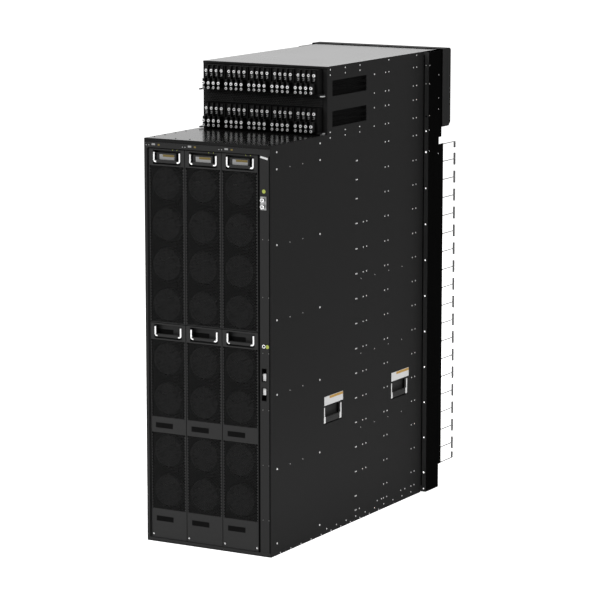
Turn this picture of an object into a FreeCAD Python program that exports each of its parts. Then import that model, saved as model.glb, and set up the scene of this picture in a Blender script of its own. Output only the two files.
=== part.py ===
"""Modular core router chassis: fan trays at the rear, power inlets above a step, cards at the front.

Frame: millimetres, +Z up, the fan side at -Y, origin at the centre of the base panel's underside.
"""
import FreeCAD, Part
import os
import re

import Sketcher

Vector = FreeCAD.Vector
SQUARE = 4
HEXAGON = 6

SIZES = {
    # Shell
    "body_depth": 980,
    "total_height": 1457,
    "power_height": 207,
    "step_depth": 344,
    "sheet_thickness": 2,
    "floor_thickness": 2.5,
    "kick_height": 68,
    "cover_flange": 10,
    "cover_seam": 2,
    "rim_flange": 6,
    "power_post": 14,
    "seat_gap": 0.3,
    # Fan bay
    "post_width": 13.5,
    "frame_depth": 22,
    "sill_height": 11.5,
    "shelf_thickness": 1.5,
    "header_height": 18.1,
    "strip_bay": 40.3,
    "tray_count": 3,
    "tray_gap": 1,
    "tray_depth": 150,
    "tray_sheet": 1.5,
    "face_recess": 3,
    "handle_panel": 55,
    "middle_band": 49,
    "bottom_band": 92,
    "window_margin": 6.2,
    "slot_width": 22,
    "slot_bar": 8,
    "bulkhead_margin": 8,
    # Fans
    "upper_fan_count": 4,
    "lower_fan_count": 2,
    "fan_spread": 4.25,
    "fan_wall": 11.75,
    "hub_radius": 22,
    "rotor_depth": 26,
    "rotor_setback": 9,
    "blade_count": 4,
    "blade_thickness": 2,
    "blade_root": 18,
    "blade_tip": 38,
    "blade_pitch": 38,
    "blade_sink": 2,
    "motor_strut": 14,
    # Tray handles
    "bail_inset": 15.2,
    "tray_bail_height": 41,
    "tray_bail_leg": 8,
    "tray_bail_grip": 12,
    "tray_bail_thickness": 6,
    "tray_bail_chamfer": 5,
    "tray_pan_depth": 18,
    "tray_pan_sheet": 1.5,
    "bail_headroom": 2.5,
    "bail_footroom": 3,
    # Lift handles
    "lift_bail_width": 112,
    "lift_bail_height": 50,
    "lift_bail_leg": 10,
    "lift_bail_grip": 20,
    "lift_bail_thickness": 8,
    "lift_bail_chamfer": 7,
    "lift_pan_depth": 17,
    "lift_pan_sheet": 1.5,
    "lift_top": 402,
    "lift_rear": -107.5,
    "lift_inset": 155,
    # Side vents
    "vent_rear": -114,
    "vent_length": 217,
    "vent_slot": 12,
    "vent_bar": 6,
    "vent_count": 3,
    "vent_rise": 20,
    "vent_pitch": 94,
    # Service strip
    "strip_reveal": 3.3,
    "strip_window": 26,
    "fitting_inset": 21,
    "ground_drop": 172,
    "ground_width": 20,
    "ground_height": 40,
    "ground_plate": 3,
    "stud_radius": 3,
    "stud_length": 12,
    "stud_pitch": 20,
    "jack_centre": 647,
    "jack_radius": 5,
    "jack_bore": 2.05,
    "jack_flange_radius": 7,
    "jack_flange": 2,
    "jack_length": 16,
    "socket_centre": 530,
    "socket_pitch": 59,
    "socket_width": 16.5,
    "socket_height": 40,
    "socket_depth": 18,
    "socket_wall": 1.5,
    "socket_insert": 22,
    "socket_insert_depth": 12,
    # Power inlets
    "inlet_rise": 5,
    "inlet_margin": 4,
    "row_shift": 13.5,
    "row_room": 27.5,
    "block_count": 5,
    "block_gap": 4,
    "block_cheeks": 5.6,
    "block_reach": 28,
    "terminal_reach": 49,
    "terminal_width": 7,
    "column_count": 4,
    "barrier_thickness": 2,
    "barrier_reach": 11,
    "bar_clearance": 7.1,
    "bar_margin": 7,
    "bar_thickness": 3,
    "bar_foot": 4,
    "split_drop": 1.5,
    "band_rib": 14,
    "band_slot_height": 10,
    # Power supplies
    "supply_gap": 3,
    "supply_room": 5.5,
    "supply_setback": 20,
    # Card cage
    "cage_foot": 74,
    "card_count": 18,
    "cage_setback": 42,
    "cage_clearance": 19,
    "card_gap": 1.2,
    "card_groove": 4,
    "card_front_depth": 12,
    "card_front_margin": 2.5,
    "ejector_width": 14,
    "ejector_reach": 22,
    "ejector_height": 10,
    # Rack ears and cable fingers
    "rack_width": 482.6,
    "ear_reach": 20.3,
    "ear_leg": 30,
    "ear_foot": 3,
    "ear_hole_radius": 3.4,
    "ear_hole_inset": 8.75,
    "ear_hole_foot": 13,
    "ear_hole_first": 68,
    "ear_top_room": 119.1,
    "ear_hole_count": 10,
    "hood_hole_drop": 51,
    "hood_hole_pitch": 48,
    "wall_reach": 105,
    "wall_foot_height": 80,
    "wall_foot_reach": 87,
    "notch_drop": 100,
    "notch_height": 23,
    "notch_reach": 73,
    "finger_width": 6,
    "finger_reach": 87,
    "finger_stem": 2.5,
    "finger_head": 40,
    "finger_head_depth": 5,
    # Front hood
    "hood_drop": 45,
    "hood_gap": 92,
    "hood_depth": 58,
    "hood_lap": 8,
    "hood_chamfer": 12,
    "hood_slot_margin": 36.3,
    "hood_slot_height": 24,
    "hood_slot_pitch": 44,
    "hood_slot_count": 4,
    "hood_slot_gap": 30,
}

# Sizes that follow from others, so that the pieces keep together when one of those changes
DERIVED = {
    "body_width": "rack_width - 2 * ear_reach",
    "step_height": "total_height - power_height",
    "tray_pitch": "(body_width - sheet_thickness - post_width - strip_bay - tray_gap) / tray_count",
    "tray_width": "tray_pitch - tray_gap",
    "window_width": "tray_width - 2 * window_margin",
    "tray_bail_width": "tray_width - 2 * bail_inset",
    "frame_top": "step_height - cover_flange - cover_seam",
    "trays_tall": "frame_top - header_height - tray_gap - sill_height - shelf_thickness - 3 * seat_gap",
    "short_window": "(trays_tall - 2 * handle_panel - middle_band - bottom_band) / 4",
    "upper_window": "2 * short_window",
    "fan_pitch": "short_window / 2 + fan_spread",
    "rotor_radius": "fan_pitch / 2 - fan_wall",
    "lift_front": "body_depth / 2 - lift_inset",
    "lower_vent": "step_height + vent_rise",
    "upper_vent": "lower_vent + vent_pitch",
    "fitting_line": "body_width / 2 - sheet_thickness - fitting_inset",
    "ground_centre": "step_height - ground_drop",
    "inlet_foot": "step_height + inlet_rise",
    "inlet_pitch": "power_height / 2 + row_shift",
    "carrier_split": "step_height + power_height / 2 - split_drop",
    "block_pitch": "(body_width - 2 * power_post - inlet_margin) / block_count",
    "block_width": "block_pitch - block_gap",
    "block_height": "power_height / 2 - row_room",
    "level_height": "block_height / 2",
    "column_pitch": "(block_width - block_cheeks) / column_count",
    "bar_width": "column_pitch - bar_clearance",
    "bar_height": "level_height - bar_margin",
    "band_slot_width": "block_width - band_rib",
    "supply_width": "block_pitch - supply_gap",
    "supply_height": "power_height / 2 - supply_room",
    "cage_rear": "-body_depth / 2 + step_depth + cage_setback",
    "cage_half_width": "body_width / 2 - sheet_thickness - cage_clearance",
    "notch_foot": "step_height - notch_drop",
    "slot_pitch": "(notch_foot - cage_foot) / card_count",
    "ear_hole_spread": "rack_width - 2 * ear_hole_inset",
    "ear_hole_pitch": "(step_height - ear_hole_first - ear_top_room) / (ear_hole_count - 1)",
    "hood_hole_first": "step_height - hood_hole_drop",
    "hood_foot": "step_height - hood_drop",
    "hood_rear": "body_depth / 2 + hood_gap",
    "hood_slot_width": "rack_width / 2 - hood_slot_margin - hood_slot_gap / 2",
}

doc = FreeCAD.newDocument("router_chassis")
dims = doc.addObject("Spreadsheet::Sheet", "dims")
for row, (alias, size) in enumerate(SIZES.items(), start=1):
    dims.set(f"A{row}", alias)
    dims.set(f"B{row}", str(size))
    dims.setAlias(f"B{row}", alias)
for row, (alias, formula) in enumerate(DERIVED.items(), start=1):
    dims.set(f"C{row}", alias)
    dims.set(f"D{row}", f"={formula}")
    dims.setAlias(f"D{row}", alias)
doc.recompute()

# Places that several pieces share, as expressions on the sheet
HALF_WIDTH = "body_width / 2"
REAR = "-body_depth / 2"
FRONT = "body_depth / 2"
INNER_SIDE = "(body_width / 2 - sheet_thickness)"
STEP_FACE = "(-body_depth / 2 + step_depth)"
CARRIER_BACK = f"({STEP_FACE} + sheet_thickness)"
STEP_UNDER = "(step_height - sheet_thickness)"
TOP_UNDER = "(total_height - sheet_thickness)"
BAY_LEFT = "(-body_width / 2 + post_width)"
BAY_RIGHT = f"({BAY_LEFT} + tray_gap + tray_count * tray_pitch)"
FRAME_BACK = "(-body_depth / 2 + frame_depth)"
TRAY_FACE = "(-body_depth / 2 + face_recess)"
BULKHEAD = f"({TRAY_FACE} + tray_depth + seat_gap)"
LOWER_TRAY_FOOT = "(sill_height + seat_gap)"
LOWER_TRAY_HEIGHT = "(bottom_band + 2 * short_window + middle_band + handle_panel)"
SHELF_FOOT = f"({LOWER_TRAY_FOOT} + {LOWER_TRAY_HEIGHT} + seat_gap)"
UPPER_TRAY_FOOT = f"({SHELF_FOOT} + shelf_thickness + seat_gap)"
UPPER_TRAY_HEIGHT = "(upper_window + handle_panel)"
HEADER_FOOT = f"({UPPER_TRAY_FOOT} + {UPPER_TRAY_HEIGHT} + tray_gap)"
STRIP_LEFT = f"({BAY_RIGHT} + strip_reveal)"
STRIP_BACK = "(-body_depth / 2 + sheet_thickness)"
CAGE_TOP = "(cage_foot + card_count * slot_pitch)"
EAR_LEG_REAR = "(body_depth / 2 - ear_leg)"
CARD_BACK = "(body_depth / 2 - card_front_depth)"
FINGER_ROOT = "(body_depth / 2 + wall_reach)"
FINGER_LINE = "(rack_width / 2 - sheet_thickness / 2)"
HOOD_SIDE = "(rack_width / 2 + seat_gap + sheet_thickness)"
HOOD_TOP = "(total_height + seat_gap + sheet_thickness)"
HOOD_FRONT = "(hood_rear + hood_depth)"


def bound(text):
    """Put the sheet's name before each of its aliases in an expression."""
    known = SIZES.keys() | DERIVED.keys()
    return re.sub(r"[a-z_]+", lambda word: f"dims.{word[0]}" if word[0] in known else word[0], text)


def tie(thing, **expressions):
    """Bind properties to expressions; a double underscore stands for a dot."""
    for name, text in expressions.items():
        thing.setExpression(name.replace("__", "."), bound(text))
    return thing


def place(thing, x="0", y="0", z="0"):
    return tie(thing, Placement__Base__x=x, Placement__Base__y=y, Placement__Base__z=z)


def block(name, low, high):
    """A box between two corners given as expressions."""
    box = doc.addObject("Part::Box", name)
    spans = [f"({b}) - ({a})" for a, b in zip(low, high)]
    tie(box, Length=spans[0], Width=spans[1], Height=spans[2])
    return place(box, *low)


def along_y(thing, start):
    """Turn a primitive's axis from +Z to +Y and put its foot at start."""
    thing.Placement = FreeCAD.Placement(Vector(0, 0, 0), FreeCAD.Rotation(Vector(1, 0, 0), -90))
    return place(thing, *start)


def cylinder(name, radius, start, length):
    round_bar = tie(doc.addObject("Part::Cylinder", name), Radius=radius, Height=length)
    return along_y(round_bar, start)


def fuse(label, shapes):
    joined = doc.addObject("Part::MultiFuse", label)
    joined.Shapes = shapes
    joined.Refine = True
    return joined


def group(label, shapes):
    together = doc.addObject("Part::Compound", label)
    together.Links = shapes
    return together


def mirror(label, source):
    """The same piece on the other side of the chassis."""
    twin = doc.addObject("Part::Mirroring", label)
    twin.Source = source
    twin.Normal = Vector(1, 0, 0)
    return twin


def copy_of(label, master, x, y, z, turn=0):
    """One more piece of the same kind, turned about +Z and placed."""
    twin = doc.addObject("App::Link", label)
    twin.LinkedObject = master
    twin.Placement = FreeCAD.Placement(Vector(0, 0, 0), FreeCAD.Rotation(Vector(0, 0, 1), turn))
    return place(twin, x, y, z)


def new_body(label):
    return doc.addObject("PartDesign::Body", label)


def origin_feature(body, role):
    return next(feature for feature in body.Origin.OriginFeatures if feature.Role == role)


def sketch_on(body, axis, level, name):
    """A sketch across the given axis at a level: X gives (y, z), Y gives (x, z), Z gives (x, y)."""
    plane = {"X": "YZ_Plane", "Y": "XZ_Plane", "Z": "XY_Plane"}[axis]
    sketch = body.newObject("Sketcher::SketchObject", name)
    sketch.AttachmentSupport = [(origin_feature(body, plane), "")]
    sketch.MapMode = "FlatFace"
    sign = "-" if axis == "Y" else ""
    return tie(sketch, AttachmentOffset__Base__z=f"{sign}({level})")


def hold_point(sketch, geometry, position, point):
    """Hold a point of the sketch at two expressions from the sketch's origin."""
    for kind, text in zip(("DistanceX", "DistanceY"), point):
        value = float(sketch.evalExpression(bound(text)))
        number = sketch.addConstraint(Sketcher.Constraint(kind, -1, 1, geometry, position, value))
        sketch.setExpression(f"Constraints[{number}]", bound(text))


def draw_outline(sketch, points):
    """A closed outline whose corners are held by expressions."""
    corners = [Vector(*(float(sketch.evalExpression(bound(text))) for text in point)) for point in points]
    first = sketch.GeometryCount
    count = len(points)
    for index in range(count):
        sketch.addGeometry(Part.LineSegment(corners[index], corners[(index + 1) % count]), False)
    for index, point in enumerate(points):
        following = first + (index + 1) % count
        sketch.addConstraint(Sketcher.Constraint("Coincident", first + index, 2, following, 1))
        hold_point(sketch, first + index, 1, point)


def draw_circle(sketch, centre, radius):
    middle = Vector(*(float(sketch.evalExpression(bound(text))) for text in centre))
    value = float(sketch.evalExpression(bound(radius)))
    number = sketch.addGeometry(Part.Circle(middle, Vector(0, 0, 1), value), False)
    hold_point(sketch, number, 3, centre)
    limit = sketch.addConstraint(Sketcher.Constraint("Radius", number, value))
    sketch.setExpression(f"Constraints[{limit}]", bound(radius))


def rectangle(low, high):
    return [(low[0], low[1]), (high[0], low[1]), (high[0], high[1]), (low[0], high[1])]


def polygon(centre, radius, sides):
    """Corners of a regular polygon that stands on a flat, for round forms that repeat many times."""
    across, up = centre
    turns = [360 / sides * (index + 0.5) for index in range(sides)]
    return [(f"{across} + {radius} * cos({turn})", f"{up} + {radius} * sin({turn})") for turn in turns]


def slab(body, name, axis, start, end, outline):
    """Pad an outline from one level of an axis to another."""
    sketch = sketch_on(body, axis, start, f"{name}_outline")
    draw_outline(sketch, outline)
    pad = body.newObject("PartDesign::Pad", name)
    pad.Profile = sketch
    pad.Reversed = axis == "Y"
    return tie(pad, Length=f"({end}) - ({start})")


def opening(body, name, axis, start, end, outlines=(), circles=()):
    """Pocket outlines and circles from one level of an axis to another."""
    sketch = sketch_on(body, axis, start, f"{name}_outline")
    for outline in outlines:
        draw_outline(sketch, outline)
    for centre, radius in circles:
        draw_circle(sketch, centre, radius)
    pocket = body.newObject("PartDesign::Pocket", name)
    pocket.Profile = sketch
    pocket.Reversed = axis != "Y"
    return tie(pocket, Length=f"({end}) - ({start})")


def row_of(body, name, feature, axis, pitch, count):
    """Repeat a feature along an axis of the body."""
    pattern = body.newObject("PartDesign::LinearPattern", name)
    pattern.Originals = [feature]
    pattern.Direction = (origin_feature(body, f"{axis}_Axis"), [""])
    pattern.Mode = "Spacing"
    tie(pattern, Offset=pitch, Occurrences=count)
    body.Tip = pattern
    return pattern


def column_centre(column):
    """The middle of a fan tray column, counted from the left."""
    return f"({BAY_LEFT} + tray_gap + tray_width / 2 + {column} * tray_pitch)"


def make_base_panel():
    """Floor sheet with the kick plate turned up at its front."""
    body = new_body("base_panel")
    floor = rectangle((f"-{INNER_SIDE}", REAR), (INNER_SIDE, FRONT))
    slab(body, "floor", "Z", "0", "floor_thickness", floor)
    kick_half = f"({INNER_SIDE} - sheet_thickness - seat_gap)"
    kick = rectangle((f"-{kick_half}", f"{FRONT} - sheet_thickness"), (kick_half, FRONT))
    slab(body, "kick_plate", "Z", "0", "kick_height", kick)
    return body


def lift_pan(body, name, centre):
    """The shallow pan in a side panel that a lift handle folds into."""
    half = "(lift_bail_width / 2 + seat_gap)"
    foot = "(lift_top - lift_bail_height - bail_footroom)"
    top = "(lift_top + bail_headroom)"
    rim = "lift_pan_sheet"
    around = rectangle(
        (f"{centre} - {half} - {rim}", f"{foot} - {rim}"),
        (f"{centre} + {half} + {rim}", f"{top} + {rim}"),
    )
    hollow = rectangle((f"{centre} - {half}", foot), (f"{centre} + {half}", top))
    back = f"({HALF_WIDTH} - lift_pan_depth - {rim})"
    slab(body, f"{name}_pan", "X", back, INNER_SIDE, around)
    opening(body, f"{name}_hollow", "X", f"{HALF_WIDTH} - lift_pan_depth", HALF_WIDTH, [hollow])


def make_side_panel():
    """Stepped side sheet with a rear post at the power bay, two lift pans and two louvred vents."""
    body = new_body("right_side_panel")
    outline = [
        (REAR, "0"),
        (FRONT + " - sheet_thickness", "0"),
        (FRONT + " - sheet_thickness", TOP_UNDER),
        (STEP_FACE, TOP_UNDER),
        (STEP_FACE, STEP_UNDER),
        (REAR, STEP_UNDER),
    ]
    slab(body, "sheet", "X", INNER_SIDE, HALF_WIDTH, outline)
    post = rectangle((f"{HALF_WIDTH} - power_post", STEP_FACE), (HALF_WIDTH, CARRIER_BACK))
    slab(body, "power_bay_post", "Z", "step_height", TOP_UNDER, post)
    lift_pan(body, "rear_lift", "lift_rear")
    lift_pan(body, "front_lift", "lift_front")
    for name in ("lower_vent", "upper_vent"):
        slot = rectangle(("vent_rear", name), ("vent_rear + vent_length", f"{name} + vent_slot"))
        louvre = opening(body, f"{name}_slot", "X", INNER_SIDE, HALF_WIDTH, [slot])
        row_of(body, f"{name}_row", louvre, "Z", "vent_slot + vent_bar", "vent_count")
    return body


def make_step_cover():
    """Top of the fan section, with its rear edge turned down."""
    body = new_body("step_cover")
    top = rectangle((f"-{HALF_WIDTH}", REAR), (HALF_WIDTH, STEP_FACE))
    slab(body, "top", "Z", STEP_UNDER, "step_height", top)
    lip = rectangle((f"-{INNER_SIDE}", REAR), (INNER_SIDE, STRIP_BACK))
    slab(body, "rear_lip", "Z", "step_height - cover_flange", "step_height", lip)
    return body


def make_power_cover():
    """Top of the power section, from the rim over the inlets to the front hood."""
    body = new_body("power_cover")
    rim = f"({STEP_FACE} - sheet_thickness)"
    outline = [
        (rim, "total_height - sheet_thickness - rim_flange"),
        (STEP_FACE, "total_height - sheet_thickness - rim_flange"),
        (STEP_FACE, TOP_UNDER),
        ("hood_rear + hood_lap", TOP_UNDER),
        ("hood_rear + hood_lap", "total_height"),
        (rim, "total_height"),
    ]
    slab(body, "sheet", "X", f"-{HALF_WIDTH}", HALF_WIDTH, outline)
    return body


def make_fan_bay_frame():
    """Posts, sill and header round the fan trays; the right post carries the service strip."""
    body = new_body("fan_bay_frame")
    around = rectangle((f"-{INNER_SIDE}", "floor_thickness"), (INNER_SIDE, "frame_top"))
    slab(body, "frame", "Y", REAR, FRAME_BACK, around)
    lip = rectangle((f"-{INNER_SIDE}", f"frame_top - sheet_thickness"), (INNER_SIDE, STEP_UNDER))
    slab(body, "header_lip", "Y", f"{STRIP_BACK} + seat_gap", FRAME_BACK, lip)
    bay = rectangle((BAY_LEFT, "sill_height"), (BAY_RIGHT, HEADER_FOOT))
    opening(body, "bay", "Y", REAR, FRAME_BACK, [bay])
    seat = rectangle((BAY_RIGHT, "sill_height"), (INNER_SIDE, HEADER_FOOT))
    opening(body, "strip_seat", "Y", REAR, STRIP_BACK, [seat])
    half = "strip_window / 2"
    window = rectangle(
        (f"fitting_line - {half}", "socket_centre - socket_pitch - socket_height / 2"),
        (f"fitting_line + {half}", "ground_centre + ground_height"),
    )
    opening(body, "fitting_window", "Y", REAR, FRAME_BACK, [window])
    return body


def socket_middle(index):
    return f"(socket_centre + ({index} - 0.5) * socket_pitch)"


def socket_frame(index, grow):
    """Outline of a service socket, grown by a clearance."""
    half = f"(socket_width / 2 + {grow})"
    tall = f"(socket_height / 2 + {grow})"
    middle = socket_middle(index)
    return rectangle(
        (f"fitting_line - {half}", f"{middle} - {tall}"),
        (f"fitting_line + {half}", f"{middle} + {tall}"),
    )


def make_service_strip():
    """Narrow cover right of the trays, cut for the jack and the two sockets."""
    body = new_body("service_strip")
    plate = rectangle(
        (STRIP_LEFT, "sill_height + seat_gap"),
        (f"{INNER_SIDE} - seat_gap", f"{HEADER_FOOT} - seat_gap"),
    )
    slab(body, "plate", "Y", REAR, STRIP_BACK, plate)
    sockets = [socket_frame(index, "seat_gap") for index in range(2)]
    opening(body, "socket_windows", "Y", REAR, STRIP_BACK, sockets)
    jack = (("fitting_line", "jack_centre"), "jack_radius + seat_gap")
    opening(body, "jack_hole", "Y", REAR, STRIP_BACK, circles=[jack])
    return body


def make_ground_terminal():
    """Plate on the strip with the two grounding studs."""
    plate = block(
        "ground_plate_block",
        ("fitting_line - ground_width / 2", f"{REAR} - ground_plate", "ground_centre - ground_height / 2"),
        ("fitting_line + ground_width / 2", REAR, "ground_centre + ground_height / 2"),
    )
    tip = f"{REAR} - ground_plate - stud_length"
    studs = [
        cylinder(
            f"ground_stud_{side}",
            "stud_radius",
            ("fitting_line", tip, f"ground_centre + ({side} - 0.5) * stud_pitch"),
            "stud_length + ground_plate / 2",
        )
        for side in range(2)
    ]
    return fuse("ground_terminal", [plate] + studs)


def make_wrist_strap_jack():
    """Hexagonal bush in the strip: a flange, a barrel and a round bore for the plug."""
    body = new_body("wrist_strap_jack")
    centre = ("fitting_line", "jack_centre")
    mouth = f"({REAR} - jack_flange)"
    slab(body, "barrel", "Y", mouth, f"{mouth} + jack_length", polygon(centre, "jack_radius", HEXAGON))
    slab(body, "flange", "Y", mouth, REAR, polygon(centre, "jack_flange_radius", HEXAGON))
    opening(body, "bore", "Y", mouth, f"{mouth} + jack_length", circles=[(centre, "jack_bore")])
    return body


def make_service_sockets():
    """Two open boxes behind the strip, each with an insert at the end that faces the other."""
    shells = []
    for index in range(2):
        body = new_body(f"service_socket_{index + 1}")
        back = f"({REAR} + socket_depth)"
        slab(body, "case", "Y", REAR, back, socket_frame(index, "0"))
        opening(body, "mouth", "Y", REAR, f"{back} - socket_wall", [socket_frame(index, "-socket_wall")])
        half = "(socket_width / 2 - socket_wall / 2)"
        reach = "(socket_height / 2 - socket_wall / 2)"
        lower_top = f"({socket_middle(0)} + {reach})"
        upper_top = f"({socket_middle(1)} - {reach} + socket_insert)"
        top = lower_top if index == 0 else upper_top
        insert = rectangle(
            (f"fitting_line - {half}", f"{top} - socket_insert"),
            (f"fitting_line + {half}", top),
        )
        insert_front = f"{back} - socket_wall - socket_insert_depth"
        slab(body, "insert", "Y", insert_front, f"{back} - socket_wall / 2", insert)
        shells.append(body)
    return group("service_sockets", shells)


def make_fan_bay_bulkhead():
    """Inner wall behind the trays with air windows, the trays' shelf and the sill shelf."""
    body = new_body("fan_bay_bulkhead")
    back = f"({BULKHEAD} + sheet_thickness)"
    wall = rectangle((f"-{INNER_SIDE}", "floor_thickness"), (INNER_SIDE, STEP_UNDER))
    slab(body, "wall", "Y", BULKHEAD, back, wall)
    for name, foot in (("tray_shelf", SHELF_FOOT), ("sill_shelf", "sill_height - shelf_thickness")):
        shelf = rectangle((f"-{INNER_SIDE}", FRAME_BACK), (INNER_SIDE, BULKHEAD))
        slab(body, name, "Z", foot, f"{foot} + shelf_thickness", shelf)
    half = "(tray_width / 2 - bulkhead_margin)"
    column = column_centre(0)
    windows = [
        rectangle(
            (f"{column} - {half}", f"{foot} + bulkhead_margin"),
            (f"{column} + {half}", f"{foot} + {height} - handle_panel"),
        )
        for foot, height in ((LOWER_TRAY_FOOT, LOWER_TRAY_HEIGHT), (UPPER_TRAY_FOOT, UPPER_TRAY_HEIGHT))
    ]
    air = opening(body, "air_windows", "Y", BULKHEAD, back, windows)
    row_of(body, "air_window_columns", air, "X", "tray_pitch", "tray_count")
    return body


def bail(label, axis, size):
    """A flat U-shaped handle that hangs from its pivot line at the top of its legs, seen along an axis."""
    half = f"({size}_bail_width / 2)"
    leg = f"({half} - {size}_bail_leg)"
    foot = f"-{size}_bail_height"
    grip = f"({foot} + {size}_bail_grip)"
    chamfer = f"{size}_bail_chamfer"
    outline = [
        (f"-{half}", "0"),
        (f"-{half}", f"{foot} + {chamfer}"),
        (f"-{half} + {chamfer}", foot),
        (f"{half} - {chamfer}", foot),
        (half, f"{foot} + {chamfer}"),
        (half, "0"),
        (leg, "0"),
        (leg, grip),
        (f"-{leg}", grip),
        (f"-{leg}", "0"),
    ]
    body = new_body(label)
    slab(body, "strap", axis, "0", f"{size}_bail_thickness", outline)
    return body


def tray_pan(body, top):
    """Pocket in the tray's handle panel; top is the panel's upper edge."""
    half = "(tray_bail_width / 2 + seat_gap)"
    rim = "tray_pan_sheet"
    tall = "(tray_bail_height + bail_headroom + bail_footroom)"
    foot = f"({top} - handle_panel / 2 - {tall} / 2)"
    around = rectangle(
        (f"-{half} - {rim}", f"{foot} - {rim}"),
        (f"{half} + {rim}", f"{foot} + {tall} + {rim}"),
    )
    hollow = rectangle((f"-{half}", foot), (half, f"{foot} + {tall}"))
    slab(body, "pan", "Y", "tray_sheet", f"tray_pan_depth + {rim}", around)
    opening(body, "pan_hollow", "Y", "0", "tray_pan_depth", [hollow])


def tray_handle_top(foot, height):
    """Level of a tray handle's upper end."""
    panel_middle = f"{foot} + {height} - handle_panel / 2"
    return f"({panel_middle} + (tray_bail_height + bail_footroom - bail_headroom) / 2)"


def fan_centres(windows):
    """Heights of a tray's fans, from pairs of a window's middle and its fan count."""
    return [
        f"({middle} + ({fan} - ({count} - 1) / 2) * fan_pitch)"
        for middle, count in windows
        for fan in range(count)
    ]


UPPER_WINDOWS = [("upper_window / 2", SIZES["upper_fan_count"])]
LOWER_WINDOWS = [
    ("bottom_band + short_window / 2", SIZES["lower_fan_count"]),
    ("bottom_band + middle_band + 3 * short_window / 2", SIZES["lower_fan_count"]),
]
UPPER_FANS = fan_centres(UPPER_WINDOWS)
LOWER_FANS = fan_centres(LOWER_WINDOWS)


def make_fan_tray(label, height, windows, fans):
    """Folded tray: slotted face with the handle pan, sides, floor and lid, and a strut behind each fan."""
    body = new_body(label)
    half = "(tray_width / 2)"
    inner = "(tray_width / 2 - tray_sheet)"
    channel = [
        (f"-{half}", "0"),
        (half, "0"),
        (half, "tray_depth"),
        (inner, "tray_depth"),
        (inner, "tray_sheet"),
        (f"-{inner}", "tray_sheet"),
        (f"-{inner}", "tray_depth"),
        (f"-{half}", "tray_depth"),
    ]
    slab(body, "face_and_sides", "Z", "0", height, channel)
    ends = rectangle((f"-{half}", "0"), (half, "tray_depth"))
    slab(body, "floor", "Z", "0", "tray_sheet", ends)
    slab(body, "lid", "Z", f"{height} - tray_sheet", height, ends)
    tray_pan(body, height)
    for number, (middle, _) in enumerate(windows):
        tall = "upper_window" if len(windows) == 1 else "short_window"
        pitch = "(slot_width + slot_bar)"
        slots = f"floor((window_width + slot_bar) / {pitch})"
        left = f"(slot_bar - {slots} * {pitch}) / 2"
        slot = rectangle(
            (left, f"{middle} - {tall} / 2"),
            (f"{left} + slot_width", f"{middle} + {tall} / 2"),
        )
        first = opening(body, f"slot_{number}", "Y", "0", "tray_sheet", [slot])
        row_of(body, f"grille_{number}", first, "X", pitch, slots)
    rotor_back = "(tray_sheet + rotor_setback + rotor_depth + seat_gap)"
    for number, middle in enumerate(fans):
        strut = rectangle(
            (f"-{half}", f"{middle} - motor_strut / 2"),
            (half, f"{middle} + motor_strut / 2"),
        )
        slab(body, f"motor_strut_{number}", "Y", rotor_back, "tray_depth", strut)
    return body


def make_rotor():
    """Fan wheel about the Y axis, front face at y = 0: a faceted hub with pitched blades on its flats."""
    blades = SIZES["blade_count"]
    body = new_body("rotor_master")
    slab(body, "hub", "Y", "0", "rotor_depth", polygon(("0", "0"), "hub_radius", 2 * blades))
    sketch = sketch_on(body, "Y", "rotor_depth / 2", "blade_outline")
    sketch.AttachmentOffset = FreeCAD.Placement(Vector(0, 0, 0), FreeCAD.Rotation(Vector(1, 0, 0), 1))
    tie(sketch, AttachmentOffset__Rotation__Angle="blade_pitch")
    root = "(hub_radius - blade_sink)"
    blade = [
        (root, "-blade_root / 2"),
        ("rotor_radius", "-blade_tip / 2"),
        ("rotor_radius", "blade_tip / 2"),
        (root, "blade_root / 2"),
    ]
    draw_outline(sketch, blade)
    pad = body.newObject("PartDesign::Pad", "blade")
    pad.Profile = sketch
    pad.SideType = "Symmetric"
    tie(pad, Length="blade_thickness")
    ring = body.newObject("PartDesign::PolarPattern", "blade_ring")
    ring.Originals = [pad]
    ring.Axis = (origin_feature(body, "Y_Axis"), [""])
    ring.Angle = 360
    tie(ring, Occurrences="blade_count")
    body.Tip = ring
    return body


def make_inlet_block():
    """One terminal block with the barriers between its columns, centred on x = 0."""
    body = new_body("inlet_block")
    half = "(block_width / 2)"
    slab(body, "case", "X", f"-{half}", half, rectangle(("-block_reach", "0"), ("0", "block_height")))
    fin = rectangle(("-block_reach - barrier_reach", "0"), ("0", "block_height"))
    start = "((1 - column_count / 2) * column_pitch - barrier_thickness / 2)"
    wall = slab(body, "barrier", "X", start, f"{start} + barrier_thickness", fin)
    row_of(body, "barriers", wall, "X", "column_pitch", "column_count - 1")
    return body


def inlet_foot(row):
    return f"(inlet_foot + {row} * inlet_pitch)"


def block_centre(index):
    return f"(({index} - (block_count - 1) / 2) * block_pitch)"


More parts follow.
